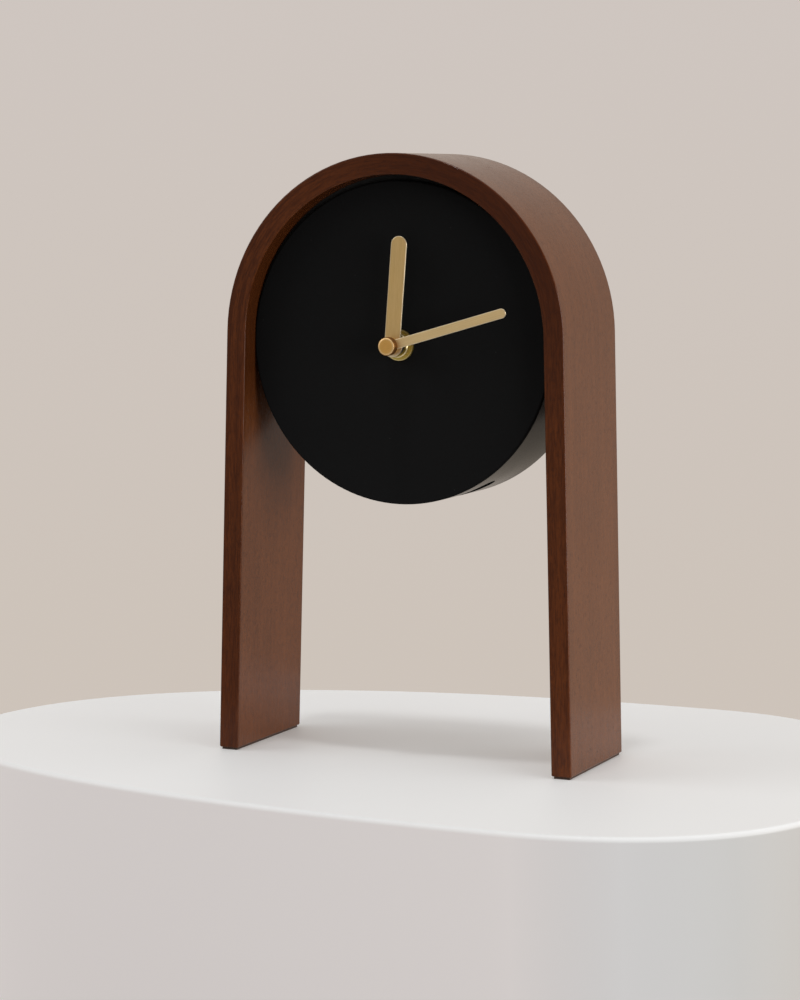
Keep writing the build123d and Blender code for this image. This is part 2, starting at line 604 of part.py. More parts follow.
def make_fifth_wheel():
    """Fifth wheel and its pinion, driven by the rotor."""
    outline = spoked(gear(ROTOR_FIFTH_TEETH, FIFTH_MODULE, FIFTH_PHASE), ROTOR_FIFTH_TEETH, FIFTH_MODULE)
    wheel = prism(Pos(*FIFTH_AXIS) * outline, FIFTH_LAYER, FIFTH_LAYER + WHEEL_THICKNESS)
    pinion = Pos(*FIFTH_AXIS) * gear(PINION_TEETH, FOURTH_MODULE)
    wheel += prism(pinion, FOURTH_LAYER - PINION_OVERRUN, FIFTH_LAYER)
    return wheel + pivoted(FIFTH_BEARING, PLATE_FRONT, FIFTH_AXIS)


def make_rotor_pinion():
    """Rotor arbor with its pinion."""
    pinion = Pos(*ROTOR_AXIS) * gear(PINION_TEETH, FIFTH_MODULE)
    back = FIFTH_LAYER + WHEEL_THICKNESS + PINION_OVERRUN
    return prism(pinion, FIFTH_LAYER - PINION_OVERRUN, back) + pivoted(ROTOR_BEARING, PLATE_FRONT, ROTOR_AXIS)


def make_rotor_magnet():
    """Ring magnet on the rotor arbor."""
    front = THIRD_LAYER - MAGNET_OVERHANG
    return tube(MAGNET_RADIUS, ARBOR_RADIUS + THREAD_GAP, front, STATOR_BACK + MAGNET_OVERHANG, ROTOR_AXIS)


def make_setting_arbor():
    """Arbor from the motion wheel to the knob behind the case."""
    pinion = Pos(*SETTING_AXIS) * gear(CANNON_TEETH, CANNON_MODULE, SETTING_PHASE)
    front = MOTION_LAYER - PINION_OVERRUN
    arbor = prism(pinion, front, MOTION_LAYER + WHEEL_THICKNESS + PINION_OVERRUN)
    arbor += rod(SETTING_ARBOR_RADIUS, SETTING_BEARING + END_SHAKE / 2, CASE_BACK + KNOB_HEIGHT, SETTING_AXIS)
    return arbor + rod(PIVOT_RADIUS, SETTING_BEARING - PIVOT_LENGTH, SETTING_BEARING + END_SHAKE, SETTING_AXIS)


def make_setting_knob():
    """Fluted knob that sets the hands."""
    front = CASE_BACK + KNOB_GAP
    back = front + KNOB_HEIGHT
    outline = Circle(KNOB_RADIUS)
    for flute in range(KNOB_FLUTES):
        outline -= Pos(*polar(KNOB_RADIUS, 360 / KNOB_FLUTES * flute)) * Circle(KNOB_FLUTE_RADIUS)
    knob = prism(Pos(*SETTING_AXIS) * outline, front, back)
    knob -= tube(KNOB_RADIUS - 2 * KNOB_FLUTE_RADIUS - KNOB_DISH, KNOB_HUB_RADIUS, back - KNOB_DISH, back, SETTING_AXIS)
    return knob - rod(SETTING_ARBOR_RADIUS + THREAD_GAP, front, CASE_BACK + KNOB_HEIGHT, SETTING_AXIS)


def make_stator():
    """Soft iron plate round the rotor, with an arm to each end of the coil."""
    left = ROTOR_AXIS[0] - STATOR_BAR_WIDTH / 2
    right = CORE_CENTRE + CORE_WIDTH / 2
    front, back = THIRD_LAYER, STATOR_BACK
    plate = block(left, left + STATOR_BAR_WIDTH, STATOR_FOOT, STATOR_TOP, front, back)
    plate += block(left, right, STATOR_FOOT, STATOR_FOOT + STATOR_ARM_WIDTH, front, back)
    plate += block(left, right, STATOR_TOP - STATOR_ARM_WIDTH, STATOR_TOP, front, back)
    plate -= rod(MAGNET_RADIUS + STATOR_AIR_GAP, front, back, ROTOR_AXIS)
    for place in stator_screw_places():
        plate -= rod(SMALL_SCREW_RADIUS + SCREW_CLEARANCE, front, back, place)
    return plate


def stator_screw_places():
    """Places of the two screws that clamp core and stator together."""
    low = STATOR_FOOT + STATOR_ARM_WIDTH / 2
    high = STATOR_TOP - STATOR_ARM_WIDTH / 2
    return ((CORE_CENTRE, low), (CORE_CENTRE, high))


COIL_BOTTOM = STATOR_FOOT + STATOR_ARM_WIDTH + COIL_END_GAP
COIL_TOP = STATOR_TOP - STATOR_ARM_WIDTH - COIL_END_GAP


def make_coil_core():
    """Iron bar through the coil."""
    left, right = CORE_CENTRE - CORE_WIDTH / 2, CORE_CENTRE + CORE_WIDTH / 2
    core = block(left, right, STATOR_FOOT, STATOR_TOP, STATOR_BACK, CORE_BACK)
    for place in stator_screw_places():
        core -= rod(SMALL_SCREW_RADIUS + SCREW_CLEARANCE, STATOR_BACK, CORE_BACK, place)
    return core


def coil_bar(margin, bottom, top):
    """Bar round the core with a margin on each side."""
    half = CORE_WIDTH / 2 + margin
    return block(CORE_CENTRE - half, CORE_CENTRE + half, bottom, top, STATOR_BACK - margin, CORE_BACK + margin)


def coil_disc(radius, bottom, top):
    """Upright round form on the core's axis."""
    middle = (CORE_CENTRE, DIAL_FRONT + CORE_DEPTH, SHAFT_HEIGHT + bottom)
    return extrude(Plane(origin=middle) * Circle(radius), amount=top - bottom)


def make_coil_bobbin():
    """Plastic bobbin with a flange at each end."""
    bobbin = coil_bar(BOBBIN_WALL + THREAD_GAP, COIL_BOTTOM, COIL_TOP)
    bobbin += coil_disc(COIL_RADIUS + BOBBIN_WALL, COIL_BOTTOM, COIL_BOTTOM + BOBBIN_FLANGE)
    bobbin += coil_disc(COIL_RADIUS + BOBBIN_WALL, COIL_TOP - BOBBIN_FLANGE, COIL_TOP)
    return bobbin - coil_bar(THREAD_GAP, COIL_BOTTOM, COIL_TOP)


def make_coil_winding():
    """Copper winding on the bobbin."""
    bottom, top = COIL_BOTTOM + BOBBIN_FLANGE, COIL_TOP - BOBBIN_FLANGE
    return coil_disc(COIL_RADIUS, bottom, top) - coil_bar(BOBBIN_WALL + 2 * THREAD_GAP, bottom, top)


def small_screw(place, under_head, grip):
    """Slotted screw driven from the back."""
    head = rod(SMALL_SCREW_HEAD_RADIUS, under_head, under_head + SMALL_SCREW_HEAD_HEIGHT, place)
    slot = Pos(*place) * Rectangle(2 * SMALL_SCREW_HEAD_RADIUS, DRIVE_SLOT_WIDTH / 2)
    top = under_head + SMALL_SCREW_HEAD_HEIGHT
    head -= prism(slot, top - SMALL_SCREW_HEAD_HEIGHT / 2, top)
    return head + rod(SMALL_SCREW_RADIUS, under_head - grip, under_head, place)


STATOR_SCREW_GRIP = SMALL_SCREW_GRIP + STATOR_THICKNESS + CORE_THICKNESS
PLATE_SCREW_GRIP = SMALL_SCREW_GRIP + PLATE_THICKNESS
CASE_SCREW_GRIP = SMALL_SCREW_GRIP + CASE_WALL


def make_screws(places, under_head, grip):
    """Group of equal screws."""
    return Compound(children=[small_screw(place, under_head, grip) for place in places])


def plate_outline():
    """Outline of the train plate, clear of the coil and the circuit board."""
    post = POST_RADIUS + BOBBIN_FLANGE
    low = PLATE_POST_PLACES[1][1] - post
    right = SETTING_AXIS[0] + SETTING_ARBOR_RADIUS + post / 2
    top = PLATE_POST_PLACES[2][1] + POST_RADIUS - SCREW_CLEARANCE
    left = PLATE_POST_PLACES[0][0] - post
    corners = ((left, low), (PLATE_POST_PLACES[1][0] + post, low),
               (PLATE_POST_PLACES[1][0] + post, PLATE_POST_PLACES[1][1] + post),
               (right, 0), (right, top), (PLATE_POST_PLACES[2][0] - post, top), (left, 0))
    return make_face(Polyline(*corners, close=True))


def make_train_plate():
    """Plate that carries the rear pivots."""
    plate = prism(plate_outline(), PLATE_FRONT, PLATE_BACK)
    for axis in ((0.0, 0.0), THIRD_AXIS, FIFTH_AXIS, ROTOR_AXIS):
        plate -= rod(PIVOT_RADIUS + RUNNING_GAP, PLATE_FRONT, PLATE_BACK, axis)
    plate -= rod(SETTING_ARBOR_RADIUS + SCREW_CLEARANCE, PLATE_FRONT, PLATE_BACK, SETTING_AXIS)
    for place in PLATE_POST_PLACES:
        plate -= rod(SMALL_SCREW_RADIUS + SCREW_CLEARANCE, PLATE_FRONT, PLATE_BACK, place)
    return plate


def case_outline(half, corner):
    """Square case outline with round corners."""
    return RectangleRounded(2 * half, 2 * half, corner)


def partition(front, back):
    """Wall between the cell's bay and the train."""
    half = ROOM_HALF - PARTITION_END_GAP
    return block(-half, half, BAY_TOP, BAY_TOP + PARTITION_THICKNESS, front, back)


def make_front_case():
    """Moulded front case with the threaded bush, bearing bosses and posts."""
    corner = CASE_CORNER_RADIUS - CASE_WALL
    case = prism(case_outline(CASE_HALF, CASE_CORNER_RADIUS), CASE_FRONT, CASE_JOIN)
    case -= prism(case_outline(ROOM_HALF, corner), CAVITY_FRONT, CASE_JOIN)
    case += partition(CAVITY_FRONT, CASE_JOIN)
    case += rod(BUSH_RADIUS, -BUSH_PROUD, CASE_FRONT)
    case -= rod(HOUR_PIPE_RADIUS + RUNNING_GAP, -BUSH_PROUD, CAVITY_FRONT)
    bearings = ((THIRD_AXIS, THIRD_BEARING), (FIFTH_AXIS, FIFTH_BEARING),
                (ROTOR_AXIS, ROTOR_BEARING), (SETTING_AXIS, SETTING_BEARING))
    for axis, face in bearings:
        boss_front = min(CAVITY_FRONT, face - PIVOT_LENGTH)
        case += rod(BOSS_RADIUS, boss_front, face, axis)
        case -= rod(PIVOT_RADIUS + RUNNING_GAP, face - PIVOT_LENGTH - END_SHAKE, face, axis)
    case += rod(STUD_RADIUS, CAVITY_FRONT, MOTION_LAYER + WHEEL_THICKNESS, MOTION_AXIS)
    for place in BOARD_PIN_PLACES:
        case += rod(POST_RADIUS, CAVITY_FRONT, BOARD_FRONT, place)
        case += rod(BOARD_PIN_RADIUS, BOARD_FRONT, BOARD_BACK, place)
    screwed = [(place, PLATE_FRONT, PLATE_BACK, PLATE_SCREW_GRIP) for place in PLATE_POST_PLACES]
    screwed += [(place, THIRD_LAYER, CORE_BACK, STATOR_SCREW_GRIP) for place in stator_screw_places()]
    screwed += [(place, CAVITY_BACK, CASE_BACK, CASE_SCREW_GRIP) for place in CASE_POST_PLACES]
    for place, post_back, under_head, grip in screwed:
        case += rod(POST_RADIUS, CAVITY_FRONT, post_back, place)
        case -= rod(SMALL_SCREW_RADIUS + THREAD_GAP, under_head - grip - THREAD_GAP, post_back, place)
    return case


def make_back_case():
    """Moulded back case, open over the cell's bay."""
    corner = CASE_CORNER_RADIUS - CASE_WALL
    case = prism(case_outline(CASE_HALF, CASE_CORNER_RADIUS), CASE_JOIN, CASE_BACK)
    case -= prism(case_outline(ROOM_HALF, corner), CASE_JOIN, CAVITY_BACK)
    case += partition(CASE_JOIN, CAVITY_BACK)
    case -= block(-ROOM_HALF, ROOM_HALF, -ROOM_HALF, BAY_TOP, CAVITY_BACK, CASE_BACK)
    case -= rod(SETTING_ARBOR_RADIUS + RUNNING_GAP, CAVITY_BACK, CASE_BACK, SETTING_AXIS)
    for place in CASE_POST_PLACES:
        case -= rod(SMALL_SCREW_RADIUS + SCREW_CLEARANCE, CAVITY_BACK, CASE_BACK, place)
    return case


def make_circuit_board():
    """Circuit board on two pins of the front case."""
    board = block(BOARD_LEFT, BOARD_RIGHT, BOARD_BOTTOM, BOARD_TOP, BOARD_FRONT, BOARD_BACK)
    for place in BOARD_PIN_PLACES:
        board -= rod(BOARD_PIN_RADIUS + THREAD_GAP, BOARD_FRONT, BOARD_BACK, place)
    return board


def make_circuit_chip():
    """Epoxy drop over the chip."""
    chip = rod(CHIP_RADIUS, BOARD_BACK, BOARD_BACK + CHIP_HEIGHT, CHIP_PLACE)
    return fillet(chip.faces().sort_by(Axis.Y)[-1].edges(), CHIP_HEIGHT / 2)


def make_quartz_crystal():
    """Small round can that lies on the board."""
    start = (CRYSTAL_PLACE[0] - CRYSTAL_LENGTH / 2, DIAL_FRONT + BOARD_BACK + CRYSTAL_RADIUS,
             SHAFT_HEIGHT + CRYSTAL_PLACE[1])
    return extrude(Plane(origin=start, z_dir=(1, 0, 0)) * Circle(CRYSTAL_RADIUS), amount=CRYSTAL_LENGTH)


def cell_rod(radius, left, right):
    """Round bar on the cell's axis."""
    start = (left, DIAL_FRONT + CELL_DEPTH, SHAFT_HEIGHT + CELL_CENTRE)
    return extrude(Plane(origin=start, z_dir=(1, 0, 0)) * Circle(radius), amount=right - left)


def make_cell():
    """Round cell with its nub to the right."""
    body = cell_rod(CELL_RADIUS, CELL_LEFT, CELL_RIGHT)
    body = fillet(body.edges().filter_by(GeomType.CIRCLE), CELL_EDGE_RADIUS)
    return body + cell_rod(CELL_NUB_RADIUS, CELL_RIGHT, CELL_RIGHT + CELL_NUB_HEIGHT)


def make_contact(side):
    """Contact strip along a side wall, from the cell's end up to the circuit board."""
    inner, outer = sorted((side * CONTACT_FACE, side * (CONTACT_FACE + CONTACT_THICKNESS)))
    top = STATOR_TOP + CONTACT_TOP_GAP
    half = CONTACT_HEIGHT / 2
    strip_front, strip_back = BOARD_BACK, BOARD_BACK + CONTACT_STRIP_WIDTH
    contact = block(inner, outer, CELL_CENTRE - half, top, strip_front, strip_back)
    contact += block(inner, outer, CELL_CENTRE - half, CELL_CENTRE + half, CELL_DEPTH - half, strip_back)
    board_end = BOARD_RIGHT if side > 0 else BOARD_LEFT
    tab = sorted((board_end - side * CONTACT_TAB_REACH, side * (CONTACT_FACE + CONTACT_THICKNESS)))
    return contact + block(tab[0], tab[1], top - CONTACT_TAB_HEIGHT, top, BOARD_BACK, BOARD_BACK + CONTACT_THICKNESS)


def make_positive_contact():
    """Flat contact against the cell's nub."""
    return make_contact(1)


def make_negative_contact():
    """Contact with a bowed leaf that presses the cell against the other contact."""
    half = CONTACT_HEIGHT / 2
    root = -CONTACT_FACE - CONTACT_THICKNESS / 2
    crown = CELL_LEFT - CONTACT_THICKNESS / 2
    bow = ThreePointArc((root, CELL_CENTRE - half), (crown, CELL_CENTRE), (root, CELL_CENTRE + half))
    leaf_half = CONTACT_LEAF_WIDTH / 2
    leaf = prism(trace(bow, CONTACT_THICKNESS), CELL_DEPTH - leaf_half, CELL_DEPTH + leaf_half)
    return make_contact(-1) + leaf


def make_parts():
    """All nodes by name."""
    return {
        "arch_frame": make_arch(),
        "left_foot_pad": make_foot_pad(-1),
        "right_foot_pad": make_foot_pad(1),
        "drum_case": make_drum(),
        "felt_packing": make_packing(),
        "drum_screws": make_drum_screws(),
        "dial_washer": make_dial_washer(),
        "dial_nut": make_dial_nut(),
        "movement_gasket": make_gasket(),
        "movement_front_case": make_front_case(),
        "movement_back_case": make_back_case(),
        "case_screws": make_screws(CASE_POST_PLACES, CASE_BACK, CASE_SCREW_GRIP),
        "train_plate": make_train_plate(),
        "train_plate_screws": make_screws(PLATE_POST_PLACES, PLATE_BACK, PLATE_SCREW_GRIP),
        "stator_plate": make_stator(),
        "coil_core": make_coil_core(),
        "coil_bobbin": make_coil_bobbin(),
        "coil_winding": make_coil_winding(),
        "stator_screws": make_screws(stator_screw_places(), CORE_BACK, STATOR_SCREW_GRIP),
        "circuit_board": make_circuit_board(),
        "circuit_chip": make_circuit_chip(),
        "quartz_crystal": make_quartz_crystal(),
        "battery_cell": make_cell(),
        "positive_contact": make_positive_contact(),
        "negative_contact": make_negative_contact(),
        "minute_arbor": make_minute_arbor(),
        "minute_hand": make_minute_hand(),
        "cap_nut": make_cap_nut(),
        "hour_wheel": make_hour_wheel(),
        "hour_hand": make_hour_hand(),
        "motion_wheel": make_motion_wheel(),
        "setting_arbor": make_setting_arbor(),
        "setting_knob": make_setting_knob(),
        "rotor_magnet": make_rotor_magnet(),
        "rotor_pinion": make_rotor_pinion(),
        "fifth_wheel": make_fifth_wheel(),
        "fourth_wheel": make_fourth_wheel(),
        "third_wheel": make_third_wheel(),
        "centre_wheel": make_centre_wheel(),
        "clutch_spring": make_clutch_spring(),
    }


os.makedirs("parts", exist_ok=True)
for name, part in make_parts().items():
    export_step(part, f"parts/{name}.step")
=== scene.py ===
"""Finishes, small details, studio and camera for the arch table clock."""

import logging
import math
from dataclasses import dataclass
from enum import Enum
from functools import partial, reduce
from typing import Callable, Optional, Union

import bmesh
import bpy
from mathutils import Matrix, Vector


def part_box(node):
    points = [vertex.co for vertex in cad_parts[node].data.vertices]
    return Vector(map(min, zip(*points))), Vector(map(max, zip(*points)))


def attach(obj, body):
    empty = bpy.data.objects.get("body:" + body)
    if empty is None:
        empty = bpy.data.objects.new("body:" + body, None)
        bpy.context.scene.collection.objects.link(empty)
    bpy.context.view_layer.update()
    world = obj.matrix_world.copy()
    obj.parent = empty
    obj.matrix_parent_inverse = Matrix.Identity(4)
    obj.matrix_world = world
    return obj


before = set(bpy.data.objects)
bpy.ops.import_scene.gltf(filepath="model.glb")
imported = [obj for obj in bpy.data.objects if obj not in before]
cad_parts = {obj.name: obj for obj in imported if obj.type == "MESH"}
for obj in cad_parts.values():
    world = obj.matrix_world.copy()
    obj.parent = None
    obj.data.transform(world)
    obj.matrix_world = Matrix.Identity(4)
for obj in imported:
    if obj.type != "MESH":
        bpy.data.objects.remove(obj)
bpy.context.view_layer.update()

LOG = logging.getLogger("arch_clock")
MM = 0.001
# Sockets of a Mix node that are in use when it mixes colours.
COLOUR_MIX_INPUTS = (0, 6, 7)
COLOUR_MIX_RESULT = 2

Colour = tuple[float, float, float, float]
Flat = tuple[float, float]
Outline = list[Flat]
Range = tuple[float, float]
Point = tuple[float, float, float]
Socket = bpy.types.NodeSocket
Sockets = dict[str, Socket]
Feed = Union[Socket, float, Colour, Point]


def rgb(red: float, green: float, blue: float) -> Colour:
    """Opaque linear colour."""
    return (red, green, blue, 1.0)


class Graph:
    """Short way to add, set and link the nodes of one tree."""

    def __init__(self, tree: bpy.types.NodeTree) -> None:
        """Keeps the tree that nodes go into."""
        self.tree = tree

    def add(self, kind: str, **settings: object) -> bpy.types.Node:
        """Adds a node.

        Args:
            kind: Node type, without its "ShaderNode" start.
            settings: Properties to set on the node.

        Returns:
            The new node.
        """
        node = self.tree.nodes.new("ShaderNode" + kind)
        for key, value in settings.items():
            setattr(node, key, value)
        return node

    def feed(self, socket: Socket, value: Feed) -> None:
        """Links a socket to an input, or sets the input's constant.

        Args:
            socket: The input.
            value: Socket to link, or the constant.
        """
        if isinstance(value, bpy.types.NodeSocket):
            self.tree.links.new(value, socket)
        else:
            socket.default_value = value

    def calc(self, operation: str, *values: Feed) -> Socket:
        """Adds a Math node.

        Args:
            operation: What it works out.
            values: Its inputs in order.

        Returns:
            The result.
        """
        node = self.add("Math", operation=operation)
        for socket, value in zip(node.inputs, values):
            self.feed(socket, value)
        return node.outputs[0]

    def total(self, *values: Feed) -> Socket:
        """Sum of two or more values."""
        return reduce(partial(self.calc, "ADD"), values)

    def minus(self, first: Feed, second: Feed) -> Socket:
        """First value less the second."""
        return self.calc("SUBTRACT", first, second)

    def times(self, first: Feed, second: Feed) -> Socket:
        """Product of two values."""
        return self.calc("MULTIPLY", first, second)

    def weigh(self, *parts: tuple[Socket, float]) -> Socket:
        """Sum of values, each times its own weight."""
        return self.total(*(self.times(value, weight) for value, weight in parts))

    def length(self, first: Feed, second: Feed) -> Socket:
        """Length of the vector that has these two parts."""
        squares = (self.calc("POWER", part, 2.0) for part in (first, second))
        return self.calc("SQRT", self.total(*squares))

    def split(self, vector: Socket) -> tuple[Socket, Socket, Socket]:
        """Takes a vector apart.

        Args:
            vector: The vector.

        Returns:
            Its three parts.
        """
        node = self.add("SeparateXYZ")
        self.feed(node.inputs[0], vector)
        return node.outputs[0], node.outputs[1], node.outputs[2]

    def join(self, *parts: Feed) -> Socket:
        """Makes a vector.

        Args:
            parts: Its three parts.

        Returns:
            The vector.
        """
        node = self.add("CombineXYZ")
        for socket, value in zip(node.inputs, parts):
            self.feed(socket, value)
        return node.outputs[0]

    def noise(self, vector: Socket, scale: Feed, detail: float) -> Socket:
        """Adds a noise.

        Args:
            vector: Where on the surface to read it.
            scale: Features per metre.
            detail: Octaves of finer noise.

        Returns:
            The noise value, from 0 to 1.
        """
        node = self.add("TexNoise")
        for name, value in (("Vector", vector), ("Scale", scale), ("Detail", detail)):
            self.feed(node.inputs[name], value)
        return node.outputs[0]

    def streaks(self, vector: Socket, scale: Point, detail: float) -> Socket:
        """Adds a noise that is drawn out along an axis.

        Args:
            vector: Where on the surface to read it.
            scale: Features per metre along each axis.
            detail: Octaves of finer noise.

        Returns:
            The noise value, from 0 to 1.
        """
        node = self.add("VectorMath", operation="MULTIPLY")
        self.feed(node.inputs[0], vector)
        self.feed(node.inputs[1], scale)
        return self.noise(node.outputs[0], scale=1.0, detail=detail)

    def band(self, value: Socket, low: Feed, high: Feed,
             start: float = 0.0, end: float = 1.0) -> Socket:
        """Maps low..high to start..end and holds the value at both ends.

        Args:
            value: The value to map.
            low: Where the mapped value is start.
            high: Where the mapped value is end.
            start: Result at low.
            end: Result at high.

        Returns:
            The mapped value.
        """
        node = self.add("MapRange")
        names = ("Value", "From Min", "From Max", "To Min", "To Max")
        for name, item in zip(names, (value, low, high, start, end)):
            self.feed(node.inputs[name], item)
        return node.outputs[0]

    def spread(self, mask: Socket, start: float, end: float) -> Socket:
        """Maps a mask from 0..1 to start..end."""
        return self.band(mask, 0.0, 1.0, start, end)

    def blend(self, mask: Feed, first: Feed, second: Feed) -> Socket:
        """Colour between two colours.

        Args:
            mask: 0 gives the first colour, 1 the second.
            first: Colour or link.
            second: Colour or link.

        Returns:
            The mixed colour.
        """
        node = self.add("Mix", data_type="RGBA")
        for place, value in zip(COLOUR_MIX_INPUTS, (mask, first, second)):
            self.feed(node.inputs[place], value)
        return node.outputs[COLOUR_MIX_RESULT]

    def use(self, effect: "Effect", **values: Feed) -> bpy.types.Node:
        """Places a shared effect.

        Args:
            effect: Which effect.
            values: Inputs by name, with _ for a space.

        Returns:
            The group node.
        """
        node = self.add("Group")
        node.node_tree = effect.tree()
        for name, value in values.items():
            self.feed(node.inputs[name.replace("_", " ")], value)
        return node


def grain_effect(graph: Graph, inputs: Sockets) -> Sockets:
    """Fine pebbled surface of paint, rubber or moulded plastic.

    Args:
        graph: Tree of the group.
        inputs: The group's inputs by name.

    Returns:
        What its outputs get, by name.
    """
    finer, coarse_share, fine_share = 3.7, 0.65, 0.35
    position, scale = inputs["Position"], inputs["Scale"]
    coarse = graph.noise(position, scale, detail=3.0)
    fine = graph.noise(position, graph.times(scale, finer), detail=1.0)
    height = graph.weigh((coarse, coarse_share), (fine, fine_share))
    return {"Height": height, "Mask": graph.band(coarse, low=0.35, high=0.65)}


def dust_effect(graph: Graph, inputs: Sockets) -> Sockets:
    """Sparse pale specks.

    Args:
        graph: Tree of the group.
        inputs: The group's inputs by name.

    Returns:
        What its outputs get, by name.
    """
    core, rim, faintest = 0.05, 0.11, 0.3
    cells = graph.add("TexVoronoi")
    graph.feed(cells.inputs["Vector"], inputs["Position"])
    graph.feed(cells.inputs["Scale"], inputs["Scale"])
    speck = graph.band(cells.outputs["Distance"], core, rim, 1.0, 0.0)
    chance = graph.add("SeparateColor")
    graph.feed(chance.inputs[0], cells.outputs["Color"])
    chosen = graph.calc("LESS_THAN", chance.outputs[0], inputs["Share"])
    strength = graph.spread(chance.outputs[1], faintest, 1.0)
    return {"Mask": graph.times(graph.times(speck, chosen), strength)}


def brush_effect(graph: Graph, inputs: Sockets) -> Sockets:
    """Fine straight lines along X of the position.

    Args:
        graph: Tree of the group.
        inputs: The group's inputs by name.

    Returns:
        What its outputs get, by name.
    """
    long_share, short_share = 0.6, 0.4
    long_lines = graph.streaks(inputs["Position"], (60.0, 5200.0, 5200.0), detail=2.0)
    short_lines = graph.streaks(inputs["Position"], (260.0, 11000.0, 11000.0), detail=1.0)
    height = graph.weigh((long_lines, long_share), (short_lines, short_share))
    return {"Height": height, "Mask": graph.band(height, low=0.36, high=0.64)}


def turned_effect(graph: Graph, inputs: Sockets) -> Sockets:
    """Rings left by a lathe, about an axis along Y.

    Args:
        graph: Tree of the group.
        inputs: The group's inputs by name.

    Returns:
        What its outputs get, by name.
    """
    rings_per_metre = 9000.0
    x, y, z = graph.split(inputs["Position"])
    radius = graph.length(graph.minus(x, inputs["Axis X"]), graph.minus(z, inputs["Axis Z"]))
    place = graph.join(graph.times(radius, rings_per_metre), graph.times(y, rings_per_metre), 0.0)
    rings = graph.noise(place, scale=1.0, detail=2.0)
    return {"Height": rings, "Mask": graph.band(rings, low=0.35, high=0.65), "Radius": radius}


def smudge_effect(graph: Graph, inputs: Sockets) -> Sockets:
    """Broad soft patches, as handling leaves on a finish."""
    patches = graph.noise(inputs["Position"], inputs["Scale"], detail=4.0)
    return {"Mask": graph.band(patches, low=0.38, high=0.66)}


@dataclass(frozen=True)
class EffectPlan:
    """Sockets of a shared effect and the function that fills it."""

    label: str
    values: tuple[str, ...]
    outputs: tuple[str, ...]
    fill: Callable[[Graph, Sockets], Sockets]


class Effect(Enum):
    """Surface effects that several finishes share, each built once as a node group."""

    GRAIN = EffectPlan("fine_grain", ("Scale",), ("Height", "Mask"), grain_effect)
    DUST = EffectPlan("dust_specks", ("Scale", "Share"), ("Mask",), dust_effect)
    BRUSH = EffectPlan("brushed_lines", (), ("Height", "Mask"), brush_effect)
    TURNED = EffectPlan("turned_rings", ("Axis X", "Axis Z"), ("Height", "Mask", "Radius"),
                        turned_effect)
    SMUDGE = EffectPlan("handled_patches", ("Scale",), ("Mask",), smudge_effect)

    def tree(self) -> bpy.types.NodeTree:
        """The effect's node group, made at its first use.

        Returns:
            The group's node tree.
        """
        plan = self.value
        found = bpy.data.node_groups.get(plan.label)
        if found:
            return found
        tree = bpy.data.node_groups.new(plan.label, "ShaderNodeTree")
        sides = tree.interface
        sides.new_socket("Position", in_out="INPUT", socket_type="NodeSocketVector")
        for name in plan.values:
            sides.new_socket(name, in_out="INPUT", socket_type="NodeSocketFloat")
        for name in plan.outputs:
            sides.new_socket(name, in_out="OUTPUT", socket_type="NodeSocketFloat")
        graph = Graph(tree)
        start, end = tree.nodes.new("NodeGroupInput"), tree.nodes.new("NodeGroupOutput")
        made = plan.fill(graph, {socket.name: socket for socket in start.outputs if socket.name})
        for name, socket in made.items():
            graph.feed(end.inputs[name], socket)
        return tree


class Surface:
    """One material: a Principled shader with links for colour, roughness and normal."""

    dust_strength: float = 0.5

    def __init__(self, name: str) -> None:
        """Makes the material and its shader.

        Args:
            name: Name of the material.
        """
        self.material = bpy.data.materials.new(name)
        self.material.use_nodes = True
        self.graph = Graph(self.material.node_tree)
        self.shader = self.material.node_tree.nodes["Principled BSDF"]
        self.position = self.graph.add("TexCoord").outputs["Object"]

    def use(self, effect: Effect, **values: Feed) -> bpy.types.Node:
        """Places a shared effect at the surface's own position."""
        return self.graph.use(effect, Position=self.position, **values)

    def uneven(self, scale: float, low: float, high: float) -> Socket:
        """Value that drifts in soft patches.

        Args:
            scale: Patches per metre.
            low: The least value.
            high: The greatest value.

        Returns:
            The value.
        """
        mask = self.use(Effect.SMUDGE, Scale=scale).outputs["Mask"]
        return self.graph.spread(mask, low, high)

    def dusted(self, colour: Socket, dust: Colour, scale: float, share: float) -> Socket:
        """Colour under sparse pale specks.

        Args:
            colour: The colour without dust.
            dust: Colour of the specks.
            scale: Places for a speck per metre.
            share: Share of the places that have one.

        Returns:
            The colour with dust.
        """
        specks = self.use(Effect.DUST, Scale=scale, Share=share).outputs["Mask"]
        return self.graph.blend(self.graph.times(specks, self.dust_strength), colour, dust)

    def put(self, **values: Feed) -> "Surface":
        """Sets or links shader inputs.

        Args:
            values: Inputs by name, with _ for a space.

        Returns:
            This surface.
        """
        for name, value in values.items():
            self.graph.feed(self.shader.inputs[name.replace("_", " ")], value)
        return self

    def bump(self, height: Socket, strength: float, depth: float) -> "Surface":
        """Bends the shading normal by a height.

        Args:
            height: Height from 0 to 1.
            strength: Share of the effect.
            depth: Real height of 1, in metres.

        Returns:
            This surface.
        """
        node = self.graph.add("Bump")
        for name, value in (("Strength", strength), ("Distance", depth), ("Height", height)):
            self.graph.feed(node.inputs[name], value)
        self.graph.feed(self.shader.inputs["Normal"], node.outputs[0])
        return self


@dataclass(frozen=True)
class Figure:
    """Noises of the wood, from its broad clouds to its finest pores."""

    cloud: Socket
    growth: Socket
    fibre: Socket
    fleck: Socket
    fine: Socket


